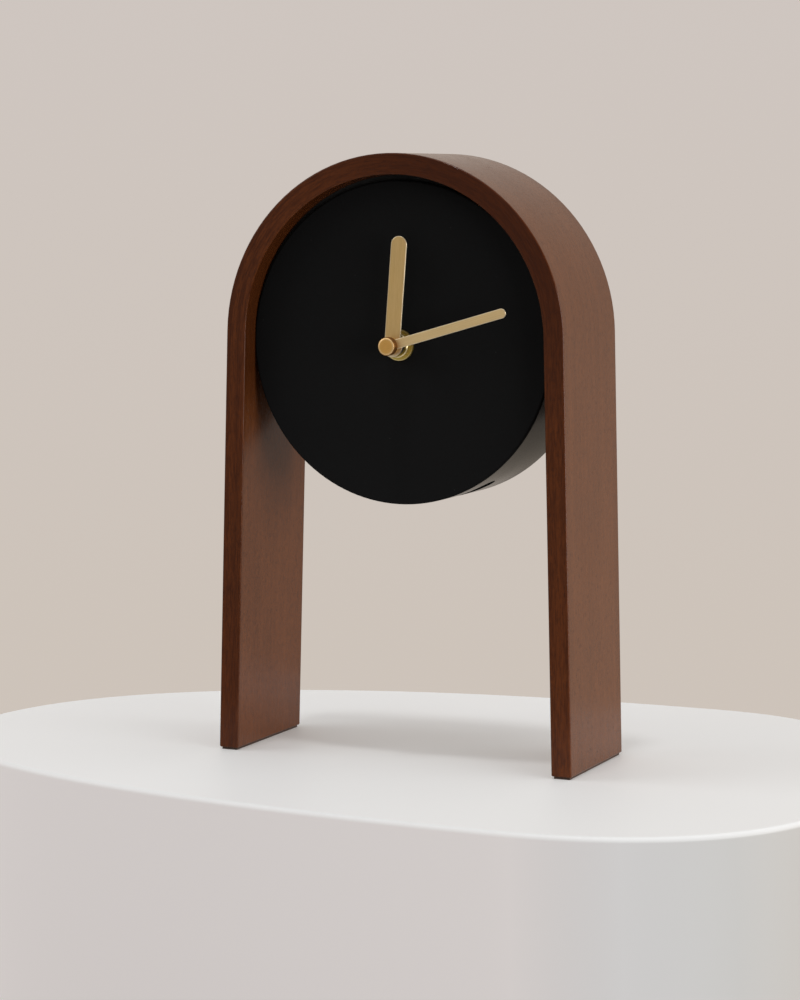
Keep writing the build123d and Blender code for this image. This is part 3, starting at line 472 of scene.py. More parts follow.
@dataclass(frozen=True)
class StainedWood:
    """Satin stained wood whose fibres follow the bend of the arch."""

    outer_radius: float = 80.0 * MM
    thickness: float = 9.2 * MM
    bend_height: float = 187.0 * MM
    splay: float = math.radians(1.5)
    edge: float = 0.7 * MM
    pale: Colour = rgb(0.122, 0.0392, 0.0104)
    deep: Colour = rgb(0.080, 0.0246, 0.0060)
    # Inner faces: paler on the legs as painted light, darker beside the drum as painted shade.
    inner_painted_light_pale: Colour = rgb(0.156, 0.0480, 0.0135)
    inner_painted_light_deep: Colour = rgb(0.106, 0.0310, 0.0082)
    drum_painted_shade_pale: Colour = rgb(0.088, 0.0240, 0.0062)
    drum_painted_shade_deep: Colour = rgb(0.060, 0.0160, 0.0040)
    cut_pale: Colour = rgb(0.118, 0.0300, 0.0070)
    cut_deep: Colour = rgb(0.065, 0.0142, 0.0032)
    pore: Colour = rgb(0.040, 0.0092, 0.0030)
    # Pale colour painted on the rounded edges as a highlight, broken up in patches.
    edge_highlight_colour: Colour = rgb(0.185, 0.0620, 0.0220)
    cloud_scale: Point = (16.0, 40.0, 40.0)
    growth_scale: Point = (7.0, 330.0, 420.0)
    fibre_scale: Point = (140.0, 1500.0, 1500.0)
    fleck_scale: Point = (400.0, 1600.0, 1600.0)
    fine_scale: Point = (430.0, 4600.0, 4600.0)
    tone_shares: Point = (0.3, 0.25, 0.45)
    tone_band: Range = (0.36, 0.64)
    streak_shares: Range = (0.4, 0.6)
    streak_band: Range = (0.4, 0.6)
    streak_depth: float = 0.65
    dark_place: float = 55.0 * MM
    dark_band: Range = (38.5 * MM, 110.0 * MM)
    dark_most: float = 0.9
    low_dark_band: Range = (-330.0 * MM, -165.0 * MM)
    low_dark_most: float = 0.5
    cut_band: Range = (0.14 * MM, 0.7 * MM)
    edge_band: Range = (0.21 * MM, 0.77 * MM)
    # Painted shade: the broad faces darken towards the cut edges, within edge_reach of them.
    painted_edge_shade: float = 0.3
    edge_reach: float = 4.2 * MM
    leg_start: float = 14.72 * MM
    leg_end: float = 40.48 * MM
    fine_pores: tuple[float, ...] = (0.62, 0.72, 0.0, 0.6)
    fleck_pores: tuple[float, ...] = (0.54, 0.70, 0.0, 0.5)
    highlight_patch_scale: float = 160.0
    highlight_patch_band: tuple[float, ...] = (0.35, 0.7, 0.0, 0.3)
    inner_highlight: float = 1.0
    outer_highlight: float = 0.25
    roughness: tuple[float, ...] = (0.3, 0.7, 0.18, 0.25)
    pore_roughness: float = 0.15
    handled_scale: float = 28.0
    handled: Range = (-0.02, 0.03)
    specular: float = 0.165
    fibre_height: float = 0.5
    relief: float = 0.22
    relief_depth: float = 0.03 * MM

    def along_bend(self, graph: Graph, position: Socket) -> Socket:
        """Position unrolled along the strip.

        Args:
            graph: Tree to build in.
            position: Position in the clock's frame.

        Returns:
            Vector of length along the strip, depth, and distance through its thickness.
        """
        x, y, z = graph.split(position)
        rise = graph.minus(z, self.bend_height)
        above = graph.calc("MAXIMUM", rise, 0.0)
        below = graph.calc("MAXIMUM", graph.times(rise, -1.0), 0.0)
        arc = graph.times(graph.calc("ARCTAN2", x, above), self.outer_radius)
        leg = graph.times(graph.calc("SIGN", x), below)
        lean = graph.times(below, math.tan(self.splay))
        through = graph.minus(graph.length(x, above), lean)
        return graph.join(graph.total(arc, leg), y, through)

    def figure(self, graph: Graph, strip: Socket) -> Figure:
        """Noises of the wood.

        Args:
            graph: Tree to build in.
            strip: Position along the strip.

        Returns:
            The noises.
        """
        return Figure(cloud=graph.streaks(strip, self.cloud_scale, detail=3.0),
                      growth=graph.streaks(strip, self.growth_scale, detail=3.0),
                      fibre=graph.streaks(strip, self.fibre_scale, detail=3.0),
                      fleck=graph.streaks(strip, self.fleck_scale, detail=1.0),
                      fine=graph.streaks(strip, self.fine_scale, detail=1.0))

    def edge_highlight_mask(self, graph: Graph, through: Socket, to_cut: Socket) -> Socket:
        """Mask of the painted highlight on the four long rounded edges.

        Args:
            graph: Tree to build in.
            through: Distance through the strip's thickness.
            to_cut: Distance to the nearer cut face.

        Returns:
            Greatest on the inner edges, less on the outer ones and 0 on the faces.
        """
        inner = self.outer_radius - self.thickness
        to_broad = graph.calc("MINIMUM", graph.minus(through, inner),
                              graph.minus(self.outer_radius, through))
        nearest = graph.calc("MAXIMUM", to_cut, to_broad)
        share = graph.band(through, inner + self.edge, self.outer_radius - self.edge,
                           self.inner_highlight, self.outer_highlight)
        return graph.times(graph.band(nearest, *self.edge_band, 1.0, 0.0), share)

    def cut_colour(self, graph: Graph, along: Socket, figure: Figure) -> Socket:
        """Colour of the front and back faces, where the strip is cut.

        Args:
            graph: Tree to build in.
            along: Length along the strip.
            figure: Noises of the wood.

        Returns:
            The colour, deeper on the bend's right and low on the left leg.
        """
        away = graph.calc("ABSOLUTE", graph.minus(along, self.dark_place))
        on_bend = graph.band(away, *self.dark_band, self.dark_most, 0.0)
        low_left = graph.band(along, *self.low_dark_band, self.low_dark_most, 0.0)
        cut = graph.blend(graph.calc("MAXIMUM", on_bend, low_left), self.cut_pale, self.cut_deep)
        streak = graph.weigh(*zip((figure.growth, figure.fibre), self.streak_shares))
        dark = graph.blend(self.streak_depth, cut, self.pore)
        return graph.blend(graph.band(streak, *self.streak_band, 1.0, 0.0), cut, dark)

    def broad_colour(self, graph: Graph, strip: Socket, to_cut: Socket, figure: Figure) -> Socket:
        """Colour of the broad outer and inner faces.

        Args:
            graph: Tree to build in.
            strip: Position along the strip.
            to_cut: Distance to the nearer cut face.
            figure: Noises of the wood.

        Returns:
            The colour: the outer faces' stain, with painted light making the legs' inner faces
                paler, painted shade making the inner faces beside the drum darker, and painted
                shade near the cut edges.
        """
        along, _, through = graph.split(strip)
        noises = (figure.cloud, figure.growth, figure.fibre)
        tone = graph.band(graph.weigh(*zip(noises, self.tone_shares)), *self.tone_band)
        # Painted shade on the broad faces near the cut edges.
        edge_painted_shade_mask = graph.band(to_cut, self.edge, self.edge_reach, self.painted_edge_shade, 0.0)
        bend_end = self.outer_radius * math.pi / 2
        on_leg = graph.band(graph.calc("ABSOLUTE", along),
                            bend_end + self.leg_start, bend_end + self.leg_end)
        # Inner faces get painted light on the legs and painted shade beside the drum.
        inner = graph.calc("LESS_THAN", through, self.outer_radius - self.thickness / 2)
        inner_painted_light_deep = graph.blend(on_leg, self.drum_painted_shade_deep, self.inner_painted_light_deep)
        inner_painted_light_pale = graph.blend(on_leg, self.drum_painted_shade_pale, self.inner_painted_light_pale)
        return graph.blend(graph.minus(tone, edge_painted_shade_mask), graph.blend(inner, self.deep, inner_painted_light_deep),
                           graph.blend(inner, self.pale, inner_painted_light_pale))

    def build(self, front: float, back: float) -> bpy.types.Material:
        """Makes the material.

        Args:
            front: Y of the arch's front face.
            back: Y of its back face.

        Returns:
            The material.
        """
        surface = Surface("stained_wood")
        graph = surface.graph
        strip = self.along_bend(graph, surface.position)
        figure = self.figure(graph, strip)
        along, depth, through = graph.split(strip)
        to_cut = graph.calc("MINIMUM", graph.minus(depth, front), graph.minus(back, depth))
        colour = graph.blend(graph.band(to_cut, *self.cut_band, 1.0, 0.0),
                             self.broad_colour(graph, strip, to_cut, figure),
                             self.cut_colour(graph, along, figure))
        pores = graph.calc("MAXIMUM", graph.band(figure.fine, *self.fine_pores),
                           graph.band(figure.fleck, *self.fleck_pores))
        colour = graph.blend(pores, colour, self.pore)
        # Painted highlight on the rounded edges, strongest on the inner ones, broken up by patches.
        highlight_breaks = graph.band(graph.noise(surface.position, self.highlight_patch_scale, detail=3.0), *self.highlight_patch_band)
        painted_edge_highlight = graph.times(self.edge_highlight_mask(graph, through, to_cut), highlight_breaks)
        rough = graph.total(graph.band(figure.fibre, *self.roughness),
                            graph.times(pores, self.pore_roughness),
                            surface.uneven(self.handled_scale, *self.handled))
        surface.put(Base_Color=graph.blend(painted_edge_highlight, colour, self.edge_highlight_colour), Roughness=rough,
                    Specular_IOR_Level=self.specular)
        height = graph.minus(graph.times(figure.fibre, self.fibre_height), pores)
        return surface.bump(height, self.relief, self.relief_depth).material


@dataclass(frozen=True)
class BlackPaint:
    """Black paint, matt on the dial and smoother on the drum's wall."""

    colour: Colour = rgb(0.0085, 0.0085, 0.0088)
    bare: Colour = rgb(0.0112, 0.0112, 0.0116)
    dust: Colour = rgb(0.09, 0.088, 0.085)
    dust_scale: float = 420.0
    dust_share: float = 0.035
    grain: float = 3600.0
    dial_roughness: float = 0.78
    wall_roughness: float = 0.2
    wall_band: Range = (1.2 * MM, 2.2 * MM)
    patch: float = 26.0
    uneven: Range = (-0.03, 0.04)
    specular: float = 0.03
    relief: float = 0.3
    relief_depth: float = 0.02 * MM

    def build(self, dial_front: float) -> bpy.types.Material:
        """Makes the material.

        Args:
            dial_front: Y of the dial's front face.

        Returns:
            The material.
        """
        surface = Surface("black_paint")
        graph = surface.graph
        grain = surface.use(Effect.GRAIN, Scale=self.grain)
        depth = graph.split(surface.position)[1]
        wall = graph.band(depth, *(dial_front + behind for behind in self.wall_band))
        colour = graph.blend(grain.outputs["Mask"], self.colour, self.bare)
        colour = surface.dusted(colour, self.dust, self.dust_scale, self.dust_share)
        rough = graph.total(graph.spread(wall, self.dial_roughness, self.wall_roughness),
                            surface.uneven(self.patch, *self.uneven))
        surface.put(Base_Color=colour, Roughness=rough, Specular_IOR_Level=self.specular)
        return surface.bump(grain.outputs["Height"], self.relief, self.relief_depth).material


@dataclass(frozen=True)
class BrushedBrass:
    """Brass sheet brushed along the length of a hand."""

    name: str
    bright: Colour
    deep: Colour
    turn: float
    length: float
    width: float
    hub: float
    roughness: float = 0.5
    # Pale colour painted round the hand's outline and over the hub's rim as a highlight of the
    # rounded edges.
    polished: Colour = rgb(1.0, 0.86, 0.62)
    painted_highlight_share: float = 0.8
    polish_gloss: float = 0.2
    rim: float = 0.4 * MM
    rim_core: float = 0.12 * MM
    hub_rim: float = 1.6 * MM
    line_roughness: Range = (0.05, -0.04)
    patch: float = 120.0
    uneven: Range = (-0.03, 0.05)
    relief: float = 0.4
    relief_depth: float = 0.015 * MM

    def inside(self, graph: Graph, along: Socket, across: Socket) -> Socket:
        """Distance inside the hand's outline.

        Args:
            graph: Tree to build in.
            along: Distance from the axis towards the tip.
            across: Distance from the middle line.

        Returns:
            0 on the outline, growing inwards.
        """
        half = self.width / 2
        held = graph.calc("MINIMUM", graph.calc("MAXIMUM", along, 0.0), self.length - half)
        blade = graph.minus(half, graph.length(graph.minus(along, held), across))
        hub = graph.minus(self.hub, graph.length(along, across))
        return graph.calc("MAXIMUM", blade, graph.times(hub, self.rim / self.hub_rim))

    def build(self, axis: Vector) -> bpy.types.Material:
        """Makes the material.

        Args:
            axis: A point on the hands' axis.

        Returns:
            The material.
        """
        surface = Surface(self.name)
        graph = surface.graph
        rotate = graph.add("VectorRotate", rotation_type="Y_AXIS")
        graph.feed(rotate.inputs["Vector"], surface.position)
        graph.feed(rotate.inputs["Center"], tuple(axis))
        graph.feed(rotate.inputs["Angle"], math.pi / 2 - self.turn)
        along, _, across = graph.split(rotate.outputs[0])
        inside = self.inside(graph, graph.minus(along, axis.x), graph.minus(across, axis.z))
        # Painted highlight: pale colour along the outline and over the hub's rim.
        edge = graph.band(inside, self.rim_core, self.rim, self.painted_highlight_share, 0.0)
        lines = graph.use(Effect.BRUSH, Position=rotate.outputs[0])
        colour = graph.blend(lines.outputs["Mask"], self.deep, self.bright)
        rough = graph.total(graph.spread(lines.outputs["Mask"], *self.line_roughness),
                            self.roughness, surface.uneven(self.patch, *self.uneven))
        surface.put(Base_Color=graph.blend(edge, colour, self.polished), Metallic=1.0,
                    Roughness=graph.minus(rough, graph.times(edge, self.polish_gloss)))
        return surface.bump(lines.outputs["Height"], self.relief, self.relief_depth).material


@dataclass(frozen=True)
class TurnedMetal:
    """Metal turned on a lathe about the hands' axis, with pale rims painted as highlights."""

    name: str
    bright: Colour
    deep: Colour
    roughness: float
    polished: Colour
    rims: tuple[float, ...]
    rim_width: float
    rim_roughness: float
    side: float
    side_colour: Colour
    side_roughness: float
    side_blend: float = 0.1 * MM
    rim_core: float = 0.4
    painted_highlight_share: float = 0.8
    patch: float = 420.0
    uneven: Range = (-0.04, 0.06)
    relief: float = 0.35
    relief_depth: float = 0.012 * MM

    def build(self, axis: Vector) -> bpy.types.Material:
        """Makes the material.

        Args:
            axis: A point on the axis of the rings.

        Returns:
            The material.
        """
        surface = Surface(self.name)
        graph = surface.graph
        rings = surface.use(Effect.TURNED, Axis_X=axis.x, Axis_Z=axis.z)
        radius = rings.outputs["Radius"]
        colour = graph.blend(rings.outputs["Mask"], self.deep, self.bright)
        rough = graph.total(surface.uneven(self.patch, *self.uneven), self.roughness)
        # Pale colour at each rim: painted highlight of the rounded edges.
        for rim in self.rims:
            away = graph.calc("ABSOLUTE", graph.minus(radius, rim))
            edge = graph.band(away, self.rim_core * self.rim_width, self.rim_width,
                              self.painted_highlight_share, 0.0)
            colour = graph.blend(edge, colour, self.polished)
            rough = graph.total(rough, graph.times(edge, self.rim_roughness - self.roughness))
        # From the side radius outwards the colour turns to side_colour; on the cap that is a dark
        # brown painted shade on its side wall.
        side = graph.band(radius, self.side - self.side_blend, self.side)
        rough = graph.total(rough, graph.times(side, self.side_roughness - self.roughness))
        surface.put(Base_Color=graph.blend(side, colour, self.side_colour), Roughness=rough,
                    Metallic=1.0)
        return surface.bump(rings.outputs["Height"], self.relief, self.relief_depth).material


@dataclass(frozen=True)
class SheetMetal:
    """Flat stamped metal with straight rolling lines."""

    name: str
    bright: Colour
    deep: Colour
    roughness: float
    patch: float = 260.0
    uneven: Range = (-0.05, 0.08)
    relief: float = 0.25
    relief_depth: float = 0.01 * MM

    def build(self) -> bpy.types.Material:
        """Makes the material.

        Returns:
            The material.
        """
        surface = Surface(self.name)
        lines = surface.use(Effect.BRUSH)
        colour = surface.graph.blend(lines.outputs["Mask"], self.deep, self.bright)
        rough = surface.graph.total(surface.uneven(self.patch, *self.uneven), self.roughness)
        surface.put(Base_Color=colour, Roughness=rough, Metallic=1.0)
        return surface.bump(lines.outputs["Height"], self.relief, self.relief_depth).material


@dataclass(frozen=True)
class Moulded:
    """Moulded plastic, rubber, resin or felt with a fine grain and a little dust."""

    name: str
    colour: Colour
    shade: Colour
    roughness: float
    grain: float
    depth: float = 0.02 * MM
    dust: float = 0.02
    sheen: float = 0.0
    speck: Colour = rgb(0.2, 0.195, 0.19)
    speck_scale: float = 520.0
    patch: float = 70.0
    uneven: Range = (-0.05, 0.06)
    relief: float = 0.4

    def build(self) -> bpy.types.Material:
        """Makes the material.

        Returns:
            The material.
        """
        surface = Surface(self.name)
        grain = surface.use(Effect.GRAIN, Scale=self.grain)
        colour = surface.graph.blend(grain.outputs["Mask"], self.shade, self.colour)
        colour = surface.dusted(colour, self.speck, self.speck_scale, self.dust)
        rough = surface.graph.total(surface.uneven(self.patch, *self.uneven), self.roughness)
        surface.put(Base_Color=colour, Roughness=rough, Sheen_Weight=self.sheen)
        return surface.bump(grain.outputs["Height"], self.relief, self.depth).material


@dataclass(frozen=True)
class WoundCopper:
    """Enamelled copper wire in close turns round an upright coil."""

    bright: Colour = rgb(0.62, 0.24, 0.10)
    deep: Colour = rgb(0.30, 0.09, 0.035)
    turns_per_metre: float = 9000.0
    patch: float = 500.0
    roughness: Range = (0.28, 0.4)
    relief: float = 0.6
    relief_depth: float = 0.05 * MM

    def build(self) -> bpy.types.Material:
        """Makes the material.

        Returns:
            The material.
        """
        surface = Surface("copper_wire")
        graph = surface.graph
        height = graph.split(surface.position)[2]
        wave = graph.calc("SINE", graph.times(height, 2 * math.pi * self.turns_per_metre))
        turns = graph.band(wave, -1.0, 1.0)
        surface.put(Base_Color=graph.blend(turns, self.deep, self.bright), Metallic=1.0,
                    Roughness=surface.uneven(self.patch, *self.roughness))
        return surface.bump(turns, self.relief, self.relief_depth).material


@dataclass(frozen=True)
class PrintedBoard:
    """Brown circuit board with rows of tinned tracks."""

    base: Colour = rgb(0.27, 0.15, 0.055)
    track: Colour = rgb(0.62, 0.6, 0.55)
    scale: float = 260.0
    gap: float = 0.08
    track_length: float = 0.9
    row_height: float = 0.4
    row_shift: float = 0.37
    row_squash: float = 1.6
    grain: float = 3000.0
    roughness: Range = (0.35, 0.5)
    relief: float = 0.4
    relief_depth: float = 0.03 * MM

    def build(self) -> bpy.types.Material:
        """Makes the material.

        Returns:
            The material.
        """
        surface = Surface("printed_board")
        graph = surface.graph
        bricks = graph.add("TexBrick", offset=self.row_shift, squash=self.row_squash)
        x, y, z = graph.split(surface.position)
        for name, value in (("Vector", graph.join(x, z, y)), ("Scale", self.scale),
                            ("Mortar Size", self.gap), ("Brick Width", self.track_length),
                            ("Row Height", self.row_height)):
            graph.feed(bricks.inputs[name], value)
        tracks = bricks.outputs["Fac"]
        grain = surface.use(Effect.GRAIN, Scale=self.grain).outputs["Mask"]
        surface.put(Base_Color=graph.blend(tracks, self.base, self.track), Metallic=tracks,
                    Roughness=graph.spread(grain, *self.roughness))
        return surface.bump(tracks, self.relief, self.relief_depth).material


@dataclass(frozen=True)
class CellJacket:
    """Plain jacket of a cell, with a dark stripe and bare metal ends."""

    jacket: Colour = rgb(0.30, 0.31, 0.32)
    stripe: Colour = rgb(0.03, 0.032, 0.036)
    metal: Colour = rgb(0.66, 0.65, 0.63)
    bare_end: float = 0.7 * MM
    stripe_end: float = 14.0 * MM
    patch: float = 160.0
    roughness: Range = (0.24, 0.36)
    metal_roughness: float = 0.06
    grain: float = 1800.0
    relief: float = 0.15
    relief_depth: float = 0.01 * MM

    def build(self, left: float, right: float) -> bpy.types.Material:
        """Makes the material.

        Args:
            left: X of the cell's left end.
            right: X of the cell's right end.

        Returns:
            The material.
        """
        surface = Surface("cell_jacket")
        graph = surface.graph
        across = graph.split(surface.position)[0]
        bare = graph.calc("MAXIMUM", graph.calc("LESS_THAN", across, left + self.bare_end),
                          graph.calc("GREATER_THAN", across, right - self.bare_end))
        stripe = graph.calc("GREATER_THAN", across, right - self.stripe_end)
        jacket = graph.blend(stripe, self.jacket, self.stripe)
        rough = graph.total(surface.uneven(self.patch, *self.roughness),
                            graph.times(bare, self.metal_roughness))
        surface.put(Base_Color=graph.blend(bare, jacket, self.metal), Roughness=rough,
                    Metallic=bare)
        grain = surface.use(Effect.GRAIN, Scale=self.grain).outputs["Height"]
        return surface.bump(grain, self.relief, self.relief_depth).material


def make_object(name: str, mesh: bmesh.types.BMesh,
                material: bpy.types.Material) -> bpy.types.Object:
    """Turns a mesh into an object of the scene.

    Args:
        name: Name of the object.
        mesh: Its mesh, freed here.
        material: Its material.

    Returns:
        The object.
    """
    bmesh.ops.recalc_face_normals(mesh, faces=mesh.faces)
    data = bpy.data.meshes.new(name)
    mesh.to_mesh(data)
    mesh.free()
    data.materials.append(material)
    made = bpy.data.objects.new(name, data)
    bpy.context.scene.collection.objects.link(made)
    return made


def dress(material: bpy.types.Material, *names: str) -> None:
    """Gives CAD nodes a material and reports each.

    Args:
        material: The material for all of them.
        names: Node names.
    """
    for name in names:
        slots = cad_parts[name].data.materials
        slots.clear()
        slots.append(material)
        LOG.info("%s: %s", name, material.name)


@dataclass
class WoodArch:
    """Bent wood arch, its foot pads and the packing over the drum."""

    wood: StainedWood = StainedWood()
    # Dark brown pads under the feet, which make the dark line along the bottom of the legs.
    pads: Moulded = Moulded("foot_rubber", rgb(0.058, 0.030, 0.020), rgb(0.040, 0.020, 0.013),
                            roughness=0.8, grain=1900.0)
    # The packing's near-black colour is painted shade: it fills the gap over the drum, where only a
    # dark shaded band shows.
    felt: Moulded = Moulded("black_felt", rgb(0.010, 0.010, 0.010), rgb(0.004, 0.004, 0.004),
                            roughness=0.95, grain=2200.0, depth=0.12 * MM, dust=0.01, sheen=0.15)

    def build(self) -> None:
        """Dresses the arch, pads and packing."""
        low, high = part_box("arch_frame")
        dress(self.wood.build(low.y, high.y), "arch_frame")
        dress(self.pads.build(), "left_foot_pad", "right_foot_pad")
        dress(self.felt.build(), "felt_packing")


@dataclass
class DialDrum:
    """Black drum, with the screws that hold it in the arch."""

    paint: BlackPaint = BlackPaint()
    screws: SheetMetal = SheetMetal("zinc_screws", rgb(0.60, 0.59, 0.56), rgb(0.42, 0.41, 0.39),
                                    roughness=0.34)

    def build(self) -> None:
        """Dresses the drum and its screws."""
        dress(self.paint.build(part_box("drum_case")[0].y), "drum_case")
        dress(self.screws.build(), "drum_screws")


@dataclass
class HandSet:
    """Hands, cap and nut in brass, in front of the dial."""

    hour_sheet: BrushedBrass = BrushedBrass(
        "hour_hand_brass", bright=rgb(0.80, 0.565, 0.265), deep=rgb(0.71, 0.485, 0.200),
        turn=math.radians(4.2), length=47.6 * MM, width=7.4 * MM, hub=4.9 * MM)
    # The minute hand's brass is paler than the hour hand's as painted light, for the light its
    # brushing catches.
    minute_sheet: BrushedBrass = BrushedBrass(
        "minute_hand_brass", bright=rgb(0.93, 0.71, 0.385), deep=rgb(0.85, 0.635, 0.325),
        turn=math.radians(73.8), length=56.5 * MM, width=4.2 * MM, hub=3.6 * MM)
    # The cap's dark brown side colour is painted shade on its side wall.
    cap: TurnedMetal = TurnedMetal(
        "cap_brass", bright=rgb(0.89, 0.52, 0.16), deep=rgb(0.77, 0.42, 0.11), roughness=0.44,
        polished=rgb(1.0, 0.72, 0.38), rims=(3.4 * MM,), rim_width=0.5 * MM, rim_roughness=0.52,
        side=3.75 * MM, side_colour=rgb(0.26, 0.12, 0.035), side_roughness=0.6)
    nut: TurnedMetal = TurnedMetal(
        "nut_brass", bright=rgb(0.72, 0.56, 0.14), deep=rgb(0.56, 0.42, 0.09), roughness=0.36,
        polished=rgb(0.96, 0.80, 0.52), rims=(5.2 * MM, 6.65 * MM), rim_width=0.3 * MM,
        rim_roughness=0.36, side=6.75 * MM, side_colour=rgb(0.56, 0.42, 0.09),
        side_roughness=0.45)

    def build(self, axis: Vector) -> None:
        """Dresses the hands, cap, nut and washer.

        Args:
            axis: A point on the hands' axis.
        """
        dress(self.hour_sheet.build(axis), "hour_hand")
        dress(self.minute_sheet.build(axis), "minute_hand")
        dress(self.cap.build(axis), "cap_nut")
        dress(self.nut.build(axis), "dial_nut", "dial_washer")


class Sign(Enum):
    """Signs beside the cell, by the name of their piece."""

    PLUS = "case_plus"
    MINUS = "case_minus"


@dataclass(frozen=True)
class CaseMarks:
    """Marks moulded on the movement's back: border, ring, turning arrow, plus and minus."""

    body: str = "clock_frame"
    slot: str = "black_plastic"
    height: float = 0.45 * MM
    sunk: float = 0.05 * MM
    bevel: float = 0.12 * MM
    sharp: float = 0.5
    stroke: float = 0.8 * MM
    border: Flat = (42.0 * MM, 9.0 * MM)
    border_drop: float = 8.5 * MM
    corner: float = 2.0 * MM
    ring: float = 5.0 * MM
    arrow: float = 9.6 * MM
    sweep: float = math.radians(52.0)
    head: float = 1.5 * MM
    head_turn: float = math.radians(17.0)
    sign: float = 3.2 * MM
    plus_place: Flat = (19.0 * MM, 3.2 * MM)
    minus_place: Flat = (-18.5 * MM, 3.2 * MM)
    steps: int = 12

    def spot(self, centre: Flat, radius: float, angle: float) -> Flat:
        """Point at an angle round a centre."""
        return (centre[0] + radius * math.cos(angle), centre[1] + radius * math.sin(angle))

    def arc(self, centre: Flat, radius: float, start: float, end: float) -> Outline:
        """Points of an arc.

        Args:
            centre: Middle of the arc.
            radius: Its radius.
            start: Angle of the first point.
            end: Angle of the last point.

        Returns:
            Points in order.
        """
        turns = [start + (end - start) * step / self.steps for step in range(self.steps + 1)]
        return [self.spot(centre, radius, turn) for turn in turns]

    def circle(self, centre: Flat, radius: float) -> Outline:
        """Points of a whole circle."""
        halves = ((0.0, math.pi), (math.pi, 2 * math.pi))
        return [point for half in halves for point in self.arc(centre, radius, *half)[:-1]]

    def rounded(self, centre: Flat, inset: float) -> Outline:
        """Outline of the border.

        Args:
            centre: Middle of the border.
            inset: Distance inside its outer line.

        Returns:
            Points in order.
        """
        across, up = self.border[0] / 2 - self.corner, self.border[1] / 2 - self.corner
        corners = ((across, up), (-across, up), (-across, -up), (across, -up))
        points = []
        for quarter, (x, z) in enumerate(corners):
            start = quarter * math.pi / 2
            points += self.arc((centre[0] + x, centre[1] + z), self.corner - inset,
                               start, start + math.pi / 2)
        return points

    def turning_arrow(self, centre: Flat) -> Outline:
        """Outline of an arc over the knob with a head at both ends.

        Args:
            centre: Middle of the knob.

        Returns:
            Points in order.
        """
        first, last = math.pi / 2 - self.sweep, math.pi / 2 + self.sweep
        half = self.stroke / 2
        points = []
        for start, end, side in ((first, last, 1), (last, first, -1)):
            points += self.arc(centre, self.arrow + side * half, start, end)
            points += [self.spot(centre, self.arrow + side * self.head, end),
                       self.spot(centre, self.arrow, end + side * self.head_turn),
                       self.spot(centre, self.arrow - side * self.head, end)]
        return points

    def sign_outline(self, centre: Flat, sign: Sign) -> Outline:
        """Outline of a plus or a minus.

        Args:
            centre: Middle of the sign.
            sign: Which sign.

        Returns:
            Points in order.
        """
        half, long = self.stroke / 2, self.sign / 2
        if sign is Sign.PLUS:
            corners = ((long, -half), (long, half), (half, half), (half, long),
                       (-half, long), (-half, half), (-long, half), (-long, -half),
                       (-half, -half), (-half, -long), (half, -long), (half, -half))
        else:
            corners = ((long, -half), (long, half), (-long, half), (-long, -half))
        return [(centre[0] + x, centre[1] + z) for x, z in corners]

    def emboss(self, name: str, back: float, plastic: bpy.types.Material,
               outline: Outline, hole: Optional[Outline] = None) -> None:
        """Makes one raised mark.

        Args:
            name: Name of the piece.
            back: Y of the case's back face.
            plastic: Its material.
            outline: Its outer line.
            hole: Its inner line, with as many points, or none.
        """
        mesh = bmesh.new()
        levels = (back - self.sunk, back + self.height)
        loops = [[[mesh.verts.new((x, y, z)) for x, z in line] for y in levels]
                 for line in (outline, hole) if line]
        count = len(outline)
        steps = [(step, (step + 1) % count) for step in range(count)]
        for low, high in loops:
            for now, after in steps:
                mesh.faces.new((low[now], low[after], high[after], high[now]))
        for lines in zip(*loops):
            if len(lines) == 1:
                mesh.faces.new(lines[0])
                continue
            outer, inner = lines
            for now, after in steps:
                mesh.faces.new((outer[now], outer[after], inner[after], inner[now]))
        bmesh.ops.recalc_face_normals(mesh, faces=mesh.faces)
        rim = [edge for edge in mesh.edges if all(vert.co.y > back for vert in edge.verts)
               and edge.calc_face_angle() > self.sharp]
        bmesh.ops.bevel(mesh, geom=rim, offset=self.bevel, segments=2, profile=0.5,
                        affect="EDGES")
        mark = make_object(name, mesh, plastic)
        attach(mark, self.body)
        LOG.info("%s: %s", name, plastic.name)

    def build(self, plastic: bpy.types.Material) -> None:
        """Adds the marks to the back of the case.

        Args:
            plastic: Their material.
        """
        low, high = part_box("movement_back_case")
        knob_low, knob_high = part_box("setting_knob")
        knob = ((knob_low.x + knob_high.x) / 2, (knob_low.z + knob_high.z) / 2)
        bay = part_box("battery_cell")[1].z
        middle = ((low.x + high.x) / 2, (low.z + high.z) / 2)
        field = (middle[0], high.z - self.border_drop)
        half = self.stroke / 2
        self.emboss("case_border", high.y, plastic,
                    self.rounded(field, 0.0), self.rounded(field, self.stroke))
        self.emboss("case_ring", high.y, plastic,
                    self.circle(middle, self.ring + half), self.circle(middle, self.ring - half))
        self.emboss("case_arrow", high.y, plastic, self.turning_arrow(knob))
        for sign, place in ((Sign.PLUS, self.plus_place), (Sign.MINUS, self.minus_place)):
            centre = (middle[0] + place[0], bay + place[1])
            self.emboss(sign.value, high.y, plastic, self.sign_outline(centre, sign))


